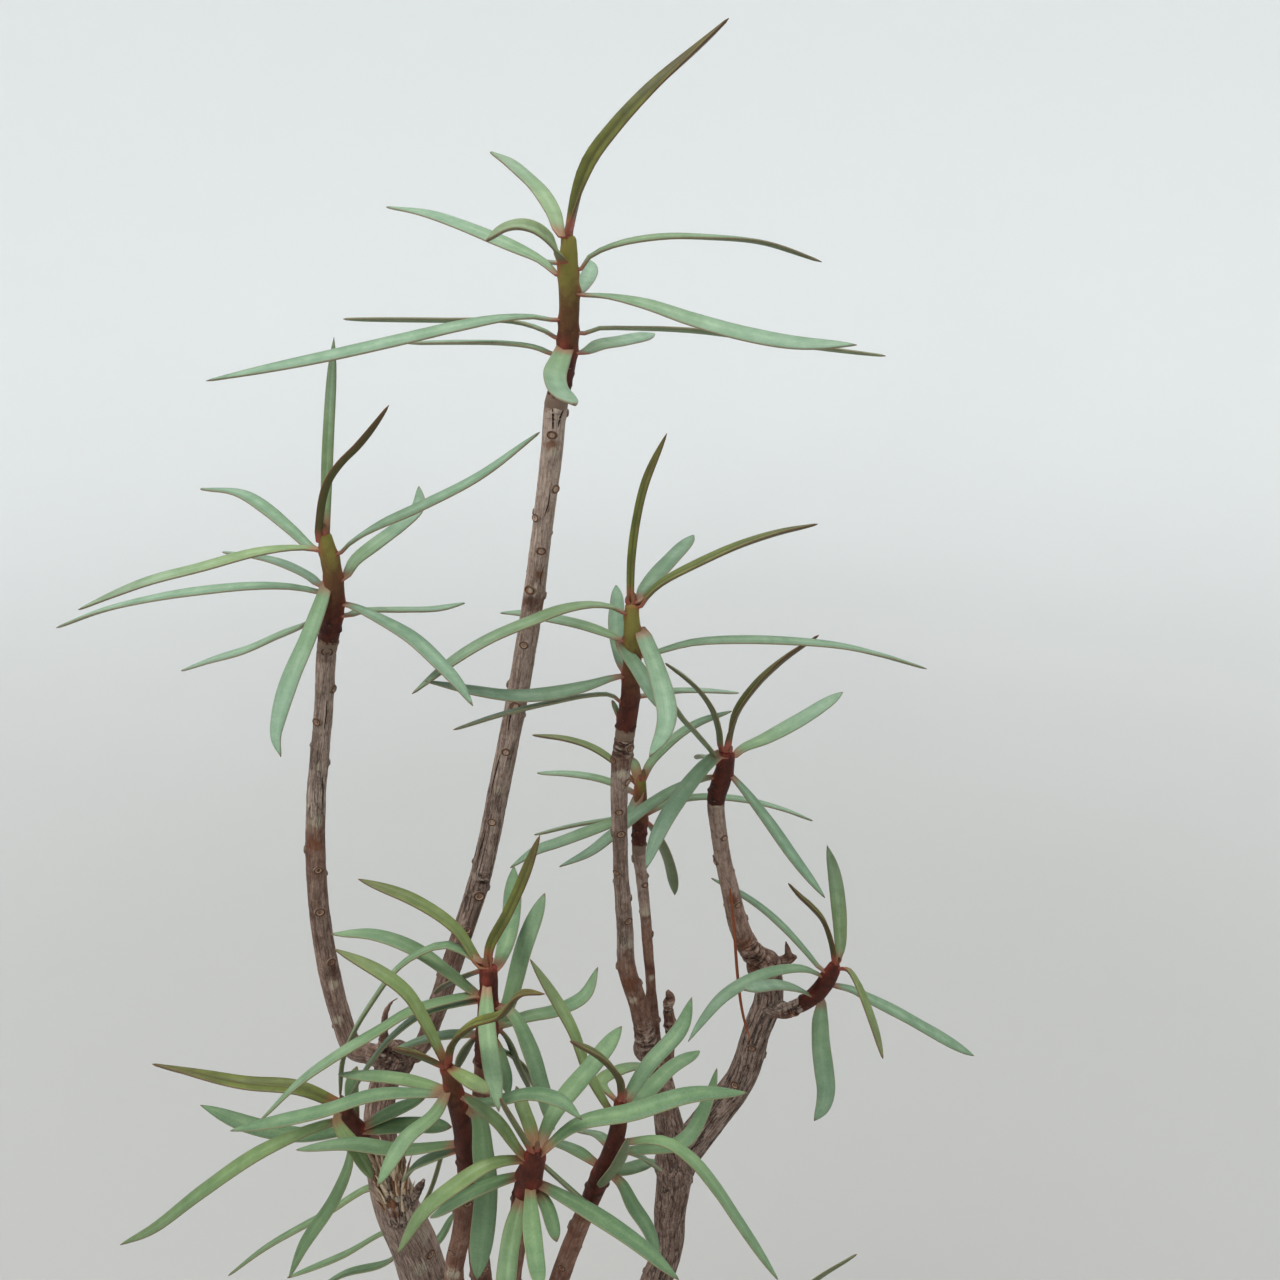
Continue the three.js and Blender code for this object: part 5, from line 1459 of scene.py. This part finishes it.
def makeBarkFinish(name, deep=0.3):
    material, tree, shader = newFinish(name, Roughness=0.86, Specular_IOR_Level=0.25)
    place = marked(tree, "barkPlace")
    pale, red, cracked = split(marked(tree, "barkTone"))
    stainPale, stainDark, stainRust = split(marked(tree, "barkStain"))
    patches = mottled(place, 0.22, 0.32, 0.68)
    fine = mottled(place, 1.3, 0.3, 0.7)
    grain = grained(place, 1.5, 0.13, 0.045, 0.5)
    wide = grained(place, 0.8, 0.09, 0.05, 0.7)
    band = joined(0.0, 0.0, split(place)[2])
    rings = mottled(band, 0.32, 0.56, 0.66)

    light = plus(pale, times(minus(patches, 0.5), 0.3))
    light = plus(light, times(minus(wide["Streaks"], 0.5), 0.9))
    light = plus(light, times(minus(fine, 0.5), 0.2))
    colour = mixed(eased(light, 0.0, 1.0), (98, 72, 59), (190, 170, 156))
    streaks = eased(grain["Streaks"], 0.42, 0.7)
    rough = eased(cracked, 0.0, 0.7, 0.2, 1.0)
    colour = mixed(times(streaks, rough, 0.34), colour, (194, 178, 164))
    fibres = grained(place, 3.4, 0.22, 0.07, 0.6)
    lines = times(fibres["Cracks"], rough)
    colour = mixed(times(lines, 0.38), colour, (58, 43, 36))
    scabs = mottled(place, 0.7, 0.54, 0.62)
    colour = mixed(times(scabs, 0.32), colour, (112, 80, 58))
    redness = mixed(patches, (104, 58, 42), (144, 96, 74))
    colour = mixed(times(red, 0.8), colour, redness)
    colour = mixed(times(rings, 0.14), colour, (170, 156, 140))

    blots = mottled(place, 0.55, 0.25, 0.75)
    ragged = plus(times(blots, 0.45), times(streaks, 0.25))
    ragged = minus(ragged, 0.35)

    def stained(mask, strength, shade):
        edge = eased(plus(mask, ragged), 0.3, 0.85)
        return mixed(times(edge, strength), colour, shade)

    colour = stained(stainRust, 0.75, (118, 70, 44))
    colour = stained(stainDark, 0.6, (72, 50, 38))
    colour = stained(stainPale, 0.8, (192, 178, 156))
    cracks = times(grain["Cracks"], plus(times(cracked, 0.5), 0.2))
    deepCracks = times(wide["Cracks"], eased(cracked, 0.35, 1.0))
    colour = mixed(cracks, colour, (56, 42, 35))
    colour = mixed(times(deepCracks, 0.85), colour, (40, 29, 25))
    flecks = specked(place, 0.8, 0.22, 0.22)
    colour = mixed(times(flecks, 0.35), colour, (60, 44, 36))
    knotty = marked(tree, "knotty", "Fac")
    folds = crossFolds(place)
    # painted shade in the valleys of the folds round knots and forks, and a painted highlight on their crests
    foldShade = times(eased(folds, 0.5, 0.4), knotty)
    foldHighlight = times(eased(folds, 0.54, 0.64), knotty)
    colour = mixed(times(foldShade, 0.95), colour, (46, 31, 26))
    colour = mixed(times(foldHighlight, 0.65), colour, (196, 180, 164))

    height = minus(times(grain["Streaks"], 0.7), cracks)
    height = minus(height, times(lines, 0.4))
    height = minus(height, deepCracks)
    height = plus(height, times(fine, 0.3))
    finishWith(shader, colour, None, height, deep, 0.9)
    return material


barkFinish = makeBarkFinish("grey_bark")


def makeLimb(name, limb, relief):
    heap, centreLines = makeWoodHeap(limb)
    piece = fuse(name, heap)
    tree = treeOf(piece.data)
    hits = {kind: seenHits(tree, rows) for kind, rows in stains.items()}
    hits["scars"] = scarSpots(tree, centreLines)
    markBark(piece.data, centreLines, hits)
    useTree(
        piece, relief, Ridge=wood["relief"] * millimetre, Lump=wood["lump"] * millimetre,
        Across=wood["across"], Along=wood["along"], Lump_Scale=wood["lumpScale"],
        Wrinkle=wood["wrinkle"] * millimetre, Material=barkFinish,
    )
    piece.data.shade_smooth()
    keep(piece, "bark", "woody_stems")
    barkTrees.append(treeOf(piece.data))
    return seatScars(barkTrees[-1], hits["scars"], centreLines)


def seatScars(tree, scars, centreLines):
    # each scar's seat on the finished bark, the way it faces, the way up its stem and half its width
    reach = np.vstack([line[0] for line in centreLines])
    along = np.vstack([line[3] for line in centreLines])
    spots = np.array([spot for spot, size in scars])
    best = nearestLimb(spots, centreLines)
    outward = spots - reach[best]
    outward = unit(outward - along[best] * (outward * along[best]).sum(1)[:, None])
    seats = []
    for (spot, size), out, upward in zip(scars, outward, along[best]):
        hit = tree.ray_cast(Vector(spot + out * 3), Vector(-out))[0]
        seat = np.array(hit) if hit is not None else spot
        seats.append((seat, out, upward, size / 2))
    return seats


relief = makeReliefTree()
barkTrees = []
scarSeats = []
for name, limb in limbs.items():
    scarSeats += makeLimb(name, limb, relief)

# Leaf scars: a raised rim round a shallow pit, in shares of half the width
scar = {
    "turns": 14, "sunk": 0.2, "high": 0.36, "long": 1.22,
    "profile": [
        (0, -0.5), (1.12, -0.5), (1.06, 0.0), (0.95, 0.3), (0.76, 0.46), (0.6, 0.36), (0.42, 0.14),
        (0.2, 0.12), (0, 0.2),
    ],
}


def makeScarPattern():
    points, faces = lathed(scar["profile"], scar["turns"])
    heap = newHeap()
    pile(heap, points / millimetre, faces, scarPlace=points)
    return pieceFrom("scar_pattern", heap)


def makeScarTree():
    inputs = {
        "Geometry": shape, "Pattern": "NodeSocketObject", "Height": 1.0, "Long": 1.2,
        "Material": "NodeSocketMaterial",
    }
    tree, entry, leave = newGroup("leaf scars", inputs, ["Geometry"], "GeometryNodeTree")
    aim = {"Primary Axis": named(tree, "outward"), "Secondary Axis": named(tree, "upward")}
    turn = fed("FunctionNodeAxesToRotation", aim, primary_axis="Z", secondary_axis="Y")[0]
    wide = named(tree, "halfWidth", "FLOAT")
    scale = joined(times(wide, entry["Long"]), wide, times(wide, entry["Height"]))
    pattern = fed("GeometryNodeObjectInfo", {"Object": entry["Pattern"]})["Geometry"]
    sockets = {"Points": entry["Geometry"], "Instance": pattern, "Rotation": turn, "Scale": scale}
    return coatedShape(tree, entry, leave, fed("GeometryNodeInstanceOnPoints", sockets)[0])


def makeScarFinish():
    material, tree, shader = newFinish("leaf_scar", Roughness=0.85, Specular_IOR_Level=0.25)
    x, y = split(marked(tree, "scarPlace"))[:2]
    radius = fromAxis(x, y)
    own = inMillimetres(tree)
    fine = mottled(own, 1.1, 0.3, 0.7)
    patches = mottled(own, 0.12, 0.4, 0.6)
    middle = mixed(patches, (138, 98, 74), (172, 138, 112))
    colour = mixed(eased(radius, 0.05, 0.25), (112, 74, 54), middle)
    rim = mixed(fine, (58, 38, 28), (88, 60, 46))
    colour = mixed(eased(radius, 0.6, 0.72), colour, rim)
    skin = mixed(fine, (104, 84, 70), (134, 116, 102))
    colour = mixed(eased(radius, 0.84, 0.98), colour, skin)
    finishWith(shader, colour, None, fine, 0.12, 0.8)
    return material


def makeScars():
    seats, outward, upward, sizes = (np.array(column) for column in zip(*scarSeats))
    seats = seats - outward * (scar["sunk"] * sizes)[:, None]
    mesh = bpy.data.meshes.new("leaf_scars")
    mesh.from_pydata((seats * millimetre).tolist(), [], [])
    mark(mesh, "outward", outward)
    mark(mesh, "upward", upward)
    mark(mesh, "halfWidth", sizes * millimetre, "FLOAT")
    piece = show("leaf_scars", mesh)
    pattern = makeScarPattern()
    high = scar["high"] / max(height for radius, height in scar["profile"])
    finish = makeScarFinish()
    useTree(piece, makeScarTree(), Pattern=pattern, Height=high, Long=scar["long"], Material=finish)
    bpy.data.objects.remove(pattern)
    piece.data.shade_smooth()
    keep(piece, "bark")


makeScars()

# Splits in the bark: the width of each and where it is seen. Each is a dark spindle let into the bark,
# painted dark as the shade down in the split.
splits = [
    (0.6, (551, 397), (552, 404), (553, 416), (553, 429)), (0.6, (568, 404), (561, 415), (558, 427)),
    (0.35, (550, 492), (548, 505), (544, 517)), (0.4, (541, 408), (543, 424), (542, 440)),
    (0.3, (544, 566), (541, 576), (540, 586)), (0.5, (514, 702), (510, 718), (508, 732)),
    (0.5, (500, 755), (495, 775), (491, 793)), (0.5, (486, 830), (481, 848), (477, 862)),
    (0.4, (327, 700), (326, 716), (324, 730)), (0.4, (322, 776), (323, 792), (322, 806)),
    (0.6, (742, 960), (752, 958), (763, 963)), (0.5, (744, 968), (754, 966), (764, 972)),
    (0.5, (619, 742), (626, 745), (633, 742)), (0.5, (386, 1050), (396, 1056), (404, 1066)),
]


def barkAt(across, down):
    # the bark of any limb that the camera sees first at a place, and the way it faces
    hits = [hitFrom(tree, across, down) for tree in barkTrees]
    return min((hit for hit in hits if hit[0] is not None), key=lambda hit: hit[3], default=None)


def makeSplits():
    heap = newHeap()
    for width, *places in splits:
        line = evenPoints([at(across, down, 0) for across, down in places], np.linspace(0, 1, 12))[0]
        hits = [hit for hit in (barkAt(*spot[:2]) for spot in line) if hit]
        path = np.array([hit[0] for hit in hits])
        out = unit(np.array([hit[1] for hit in hits]))
        sidewise = unit(np.cross(np.gradient(path, axis=0), out))
        half = (width / 2 * np.sin(np.linspace(0.04, 0.96, len(path)) * math.pi) ** 0.6)[:, None]
        corners = [path + sidewise * half, path - out * 0.5, path - sidewise * half, path + out * 0.07]
        pile(heap, np.stack(corners, axis=1).reshape(-1, 3), ringFaces(len(path), 4))
    material, tree, shader = newFinish("bark_split", Roughness=0.95, Specular_IOR_Level=0.1)
    fine = mottled(inMillimetres(tree), 1.5, 0.3, 0.7)
    # painted shade: the very dark finish of each split
    finishWith(shader, mixed(fine, (34, 24, 20), (70, 50, 40)))
    keep(pieceFrom("bark_splits", heap, material), "bark")


makeSplits()

# Torn wood at the broken trunk, and the dry leaf that hangs beside the right stem
torn = {"slivers": 120, "long": (5, 16), "wide": (0.9, 3.0), "rings": [0, 0.3, 0.6, 0.85, 1]}


def makeTornFinish():
    material, tree, shader = newFinish("torn_wood", Roughness=0.85, Specular_IOR_Level=0.2)
    seed = split(marked(tree, "sliver"))[1]
    fine = mottled(inMillimetres(tree), 0.9, 0.3, 0.7)
    colour = mixed(eased(seed, 0.3, 0.8), (136, 94, 66), (232, 212, 182))
    colour = mixed(times(fine, 0.3), colour, (110, 72, 52))
    finishWith(shader, colour, None, fine, 0.15, 0.8)
    return material


def makeTornWood():
    draw = random.Random("torn wood")
    heap = newHeap()
    path, radius = woodySamples(tornTrunk, len(tornTrunk) - 1)[:2]
    along, side, across = framesAlong(path)
    for sliver in range(torn["slivers"]):
        place = draw.randrange(0, int(len(path) * 0.9))
        turn = draw.uniform(0, 2 * math.pi)
        out = side[place] * math.cos(turn) + across[place] * math.sin(turn)
        sidewise = np.cross(along[place], out)
        long, wide = draw.uniform(*torn["long"]), draw.uniform(*torn["wide"])
        base = path[place] + out * radius[place] * 0.8
        lean = draw.uniform(-0.1, 0.3)
        rings = []
        for share in torn["rings"]:
            middle = base + along[place] * long * share + out * (lean * long * share**1.5)
            half = wide / 2 * (1 - share**1.6) + 0.06
            corners = [(half, 0), (0, half * 0.5), (-half, 0), (0, -half * 0.5)]
            rings.append([middle + sidewise * a + out * b for a, b in corners])
        points = np.array(rings).reshape(-1, 3)
        shares = np.repeat(torn["rings"], 4)
        sliverMark = np.column_stack([shares, np.full(len(shares), draw.random()), shares * 0])
        faces = [tuple(reversed(face)) for face in ringFaces(len(rings), 4)]
        pile(heap, points, faces, sliver=sliverMark)
    keep(pieceFrom("torn_wood", heap, makeTornFinish()), "bark")


def makeNeedleFinish():
    material, tree, shader = newFinish("dry_leaf", Roughness=0.6, Specular_IOR_Level=0.3)
    place = marked(tree, "leafPlace")
    toTip = split(place)[2]
    grain = grained(place, 3.0, 0.2, 0.06, 0.2)
    colour = mixed(grain["Streaks"], (104, 52, 30), (164, 90, 50))
    colour = mixed(eased(toTip, 6.0, 2.0, 0.0, 0.6), colour, (186, 116, 72))
    finishWith(shader, colour, None, grain["Streaks"], 0.08, 0.8)
    return material


def makeNeedle():
    heap = newHeap()
    draw = random.Random("dry leaf")
    route, width, thick = dryNeedle["route"], dryNeedle["width"], dryNeedle["thick"]
    growBlade(heap, route, width, at(0, 0, 1), draw, fold=12, thick=thick)
    keep(pieceFrom("dry_leaf", heap, makeNeedleFinish()), "bark")


makeTornWood()
makeNeedle()
print("wood")

# Soil and pot
soil = {
    "edge": 106, "mound": 109, "sunk": 1.2, "turns": 200, "rings": 46, "outer": 59.7, "hollow": 17.3,
    "settled": 2.5, "lump": 1.5, "grain": 0.7,
    "below": [(39.2, 8.3), (40.6, 9.0), (41.2, 10.3), (59.7, 96.0)],  # inside the pot, up to its rim
    "hole": [(17.2, 104), (16.5, 98), (12.3, 78), (8.3, 53.7)],  # round the woody base
}
pot = {
    "turns": 160, "pieces": 3.2, "uneven": 0.0022, "even": (1.5, 119),  # foot and rim are even
    "drainRadius": 4.5, "drainFlare": 0.9, "drainCircle": 24, "drainHoles": 3, "drainFrom": 30,
    "corners": [  # radius, height and rounding
        (0, 0, 0), (47, 0, 2.2), (65.5, 96, 0.9), (70, 96.8, 2.2), (70, 120, 2.6), (60, 120, 2.4),
        (60, 96, 3), (41.5, 8, 3), (0, 8, 0),
    ],
}


def soilHeight(radius, x, y):
    level = soil["mound"] - (soil["mound"] - soil["edge"]) * (radius / soil["outer"]) ** 2
    rough = noise.fractal(Vector((x, y, 3.0)) * 0.09, 0.9, 2.1, 4) * soil["lump"]
    fine = noise.noise(Vector((x, y, 9.0)) * 0.55) * soil["grain"]
    settle = float(ease(soil["outer"] - radius, 0, soil["settled"]))
    return level - soil["sunk"] + (rough + fine) * settle


def makeSoilFinish():
    material, tree, shader = newFinish("potting_soil", Roughness=0.97, Specular_IOR_Level=0.15)
    place = inMillimetres(tree)
    patches = mottled(place, 0.12, 0.35, 0.65)
    fine = mottled(place, 1.2, 0.3, 0.7)
    colour = mixed(patches, (52, 38, 30), (78, 60, 46))
    colour = mixed(times(fine, 0.5), colour, (34, 24, 19))
    fibres = specked(place, 0.7, 0.2, 0.15)
    colour = mixed(times(fibres, 0.6), colour, (128, 100, 72))
    finishWith(shader, colour, None, fine, 0.5, 1.0)
    return material


def makeSoil():
    turn = np.linspace(0, 2 * math.pi, soil["turns"], endpoint=False)
    rings = [hoop(radius, height, turn) for radius, height in soil["below"]]
    for radius in np.linspace(soil["outer"], soil["hollow"], soil["rings"]):
        x, y = radius * np.cos(turn), radius * np.sin(turn)
        rings.append(np.column_stack([x, y, [soilHeight(radius, a, b) for a, b in zip(x, y)]]))
    rings += [hoop(radius, height, turn) for radius, height in soil["hole"]]
    heap = newHeap()
    pile(heap, np.vstack(rings), ringFaces(len(rings), soil["turns"]))
    keep(pieceFrom("potting_soil", heap, makeSoilFinish()), "earth", "soil")

    bed = newHeap()
    below = len(soil["below"])
    top = rings[below + 2:below + soil["rings"]]
    pile(bed, np.vstack(top), ringFaces(len(top), soil["turns"])[:-2])
    return meshFrom("soil_bed", bed, [])


grains = {  # density is how many lie on a square metre, and size the smallest and the largest
    "soil_crumbs": {
        "faces": 1, "stretch": (1, 0.9, 0.7), "density": 90000.0, "size": (1.0, 2.6),
        "finish": "soil_crumb", "tones": [(38, 27, 21), (84, 62, 46)], "roughness": 0.97,
    },
    "bark_chips": {
        "faces": 2, "stretch": (1.5, 0.8, 0.35), "density": 26000.0, "size": (2.2, 4.6),
        "finish": "bark_chip", "tones": [(62, 38, 26), (140, 98, 66)], "roughness": 0.85,
    },
    "pumice_grit": {
        "faces": 2, "stretch": (1, 0.85, 0.8), "density": 16000.0, "size": (1.2, 2.8),
        "finish": "pumice", "tones": [(168, 160, 146), (226, 220, 208)], "roughness": 0.9,
    },
}
lumpCount, firstSeed = 4, 11


def makeLumps(name, faces, stretch):
    # a few shapes that the scattered grains are copies of, half a unit in radius
    shelf = bpy.data.collections.new(name)
    bpy.context.scene.collection.children.link(shelf)
    for copy in range(lumpCount):
        lump = bmesh.new()
        bmesh.ops.create_icosphere(lump, subdivisions=faces, radius=0.5)
        for vertex in lump.verts:
            push = 1 + 0.45 * noise.noise(vertex.co * 3.1 + Vector((copy * 7.3, 0, 0)))
            vertex.co = vertex.co * Vector(stretch) * push
        mesh = bpy.data.meshes.new(f"{name}_{copy}")
        lump.to_mesh(mesh)
        lump.free()
        shelf.objects.link(bpy.data.objects.new(mesh.name, mesh))
    return shelf


def makeScatterTree():
    # grains strewn over a bed, turned and sized by chance, with a shade of their own
    inputs = {
        "Geometry": shape, "Shapes": "NodeSocketCollection", "Density": 1000.0, "Seed": "NodeSocketInt",
        "Smallest": 0.001, "Largest": 0.002, "Material": "NodeSocketMaterial",
    }
    tree, entry, leave = newGroup("scattered grains", inputs, ["Geometry"], "GeometryNodeTree")
    sockets = {"Mesh": entry["Geometry"], "Density": entry["Density"], "Seed": entry["Seed"]}
    strewn = fed("GeometryNodeDistributePointsOnFaces", sockets)
    sockets = {1: (2 * math.pi,) * 3, "Seed": entry["Seed"]}
    turn = fed("FunctionNodeRandomValue", sockets, data_type="FLOAT_VECTOR")[0]
    sockets = {2: entry["Smallest"], 3: entry["Largest"], "Seed": plus(entry["Seed"], 5.0)}
    size = fed("FunctionNodeRandomValue", sockets, data_type="FLOAT")[1]
    shapes = fed("GeometryNodeCollectionInfo", {"Collection": entry["Shapes"], "Separate Children": True})[0]
    sockets = {
        "Points": strewn["Points"], "Instance": shapes, "Pick Instance": True, "Rotation": turn,
        "Scale": size,
    }
    copies = fed("GeometryNodeInstanceOnPoints", sockets)[0]
    shade = addNode(tree, "FunctionNodeRandomValue", {"Seed": 3}, data_type="FLOAT").outputs[1]
    sockets = {"Geometry": copies, "Name": "shade", "Value": shade}
    stored = fed("GeometryNodeStoreNamedAttribute", sockets, data_type="FLOAT", domain="INSTANCE")[0]
    return coatedShape(tree, entry, leave, stored)


def makeGrainFinish(name, dark, light, roughness):
    material, tree, shader = newFinish(name, Roughness=roughness, Specular_IOR_Level=0.2)
    place = inMillimetres(tree)
    shade = marked(tree, "shade", "Fac")
    fine = mottled(place, 1.6, 0.3, 0.7)
    tone = plus(times(shade, 0.7), times(fine, 0.3))
    finishWith(shader, mixed(tone, dark, light), None, fine, 0.2, 0.8)
    return material


def scatterGrains(bed):
    tree = makeScatterTree()
    for seed, (name, row) in enumerate(grains.items()):
        shapes = makeLumps(name, row["faces"], row["stretch"])
        piece = show(name, bed.copy())
        smallest, largest = row["size"]
        useTree(
            piece, tree, Shapes=shapes, Density=row["density"], Seed=seed + firstSeed,
            Smallest=smallest * millimetre, Largest=largest * millimetre,
            Material=makeGrainFinish(row["finish"], *row["tones"], row["roughness"]),
        )
        for pattern in list(shapes.objects):
            bpy.data.objects.remove(pattern)
        bpy.data.collections.remove(shapes)
        keep(piece, "earth")


def makeClayFinish():
    material, tree, shader = newFinish("fired_clay", Roughness=0.88, Specular_IOR_Level=0.25)
    place = inMillimetres(tree)
    x, y, high = split(place)
    radius = fromAxis(x, y)
    patches = mottled(place, 0.022, 0.35, 0.65)
    small = mottled(place, 0.14, 0.35, 0.65)
    fine = mottled(place, 1.4, 0.3, 0.7)
    colour = mixed(patches, (172, 98, 66), (192, 118, 82))
    colour = mixed(times(small, 0.35), colour, (204, 136, 100))
    band = joined(0.0, times(radius, 0.12), high)
    turned = scattered(band, 0.9, 3.0, 0.6)
    colour = mixed(eased(turned, 0.35, 0.7, 0.0, 0.22), colour, (150, 82, 56))

    lime = mottled(place, 0.06, 0.5, 0.66)
    upper = eased(high, 70.0, 94.0)
    rim = eased(high, 112.0, 120.0, 0.0, 0.9)
    foot = eased(high, 22.0, 2.0, 0.0, 0.8)
    where = worked("MAXIMUM", worked("MAXIMUM", times(upper, 0.6), rim), foot)
    powder = times(lime, where, eased(fine, 0.0, 0.7, 0.4, 0.8))
    colour = mixed(powder, colour, (226, 206, 186))
    damp = mottled(place, 0.03, 0.46, 0.62)
    damp = times(damp, eased(high, 60.0, 5.0, 0.0, 0.5))
    colour = mixed(damp, colour, (120, 66, 46))
    pits = specked(place, 0.42, 0.16, 0.2)
    colour = mixed(times(pits, 0.5), colour, (112, 62, 44))
    inside = times(eased(radius, 61.5, 60.0), eased(high, 100.0, 106.0))
    colour = mixed(times(inside, 0.35), colour, (96, 60, 46))
    height = plus(times(turned, 0.8), times(fine, 0.35))
    height = minus(height, pits)
    finishWith(shader, colour, None, height, 0.22, 0.8)
    return material


def makePot():
    corners = rounded(pot["corners"])
    profile = [corners[0]]
    for here, there in zip(corners, corners[1:]):
        pieces = max(1, int(math.dist(here, there) / pot["pieces"]))
        for step in range(1, pieces + 1):
            profile.append(tuple(a + (b - a) * step / pieces for a, b in zip(here, there)))
    points, faces = lathed(profile, pot["turns"])
    for place, point in enumerate(points):
        if pot["even"][0] < point[2] < pot["even"][1]:
            points[place, :2] *= 1 + pot["uneven"] * noise.noise(Vector(point) * 0.035)
    heap = newHeap()
    pile(heap, points, faces)
    piece = pieceFrom("clay_pot", heap, makeClayFinish())

    drills = newHeap()
    radius, flare = pot["drainRadius"], pot["drainRadius"] + pot["drainFlare"]
    profile = [(0, -5), (flare, -5), (flare, 0.0), (radius, pot["drainFlare"]), (radius, 14), (0, 14)]
    for hole in range(pot["drainHoles"]):
        turn = hole / pot["drainHoles"] * 2 * math.pi + math.radians(pot["drainFrom"])
        drill, drillFaces = lathed(profile, 40)
        drill += pot["drainCircle"] * at(math.cos(turn), math.sin(turn), 0)
        pile(drills, drill, drillFaces)
    drill = pieceFrom("drain_drill", drills)
    cut = piece.modifiers.new("drains", "BOOLEAN")
    cut.operation, cut.solver, cut.object = "DIFFERENCE", "EXACT", drill
    applied(piece)
    bpy.data.objects.remove(drill)
    piece.data.shade_smooth()
    piece.data.set_sharp_from_angle(angle=math.radians(40))
    keep(piece, "clay", "pot")


scatterGrains(makeSoil())
makePot()
print("soil and pot")
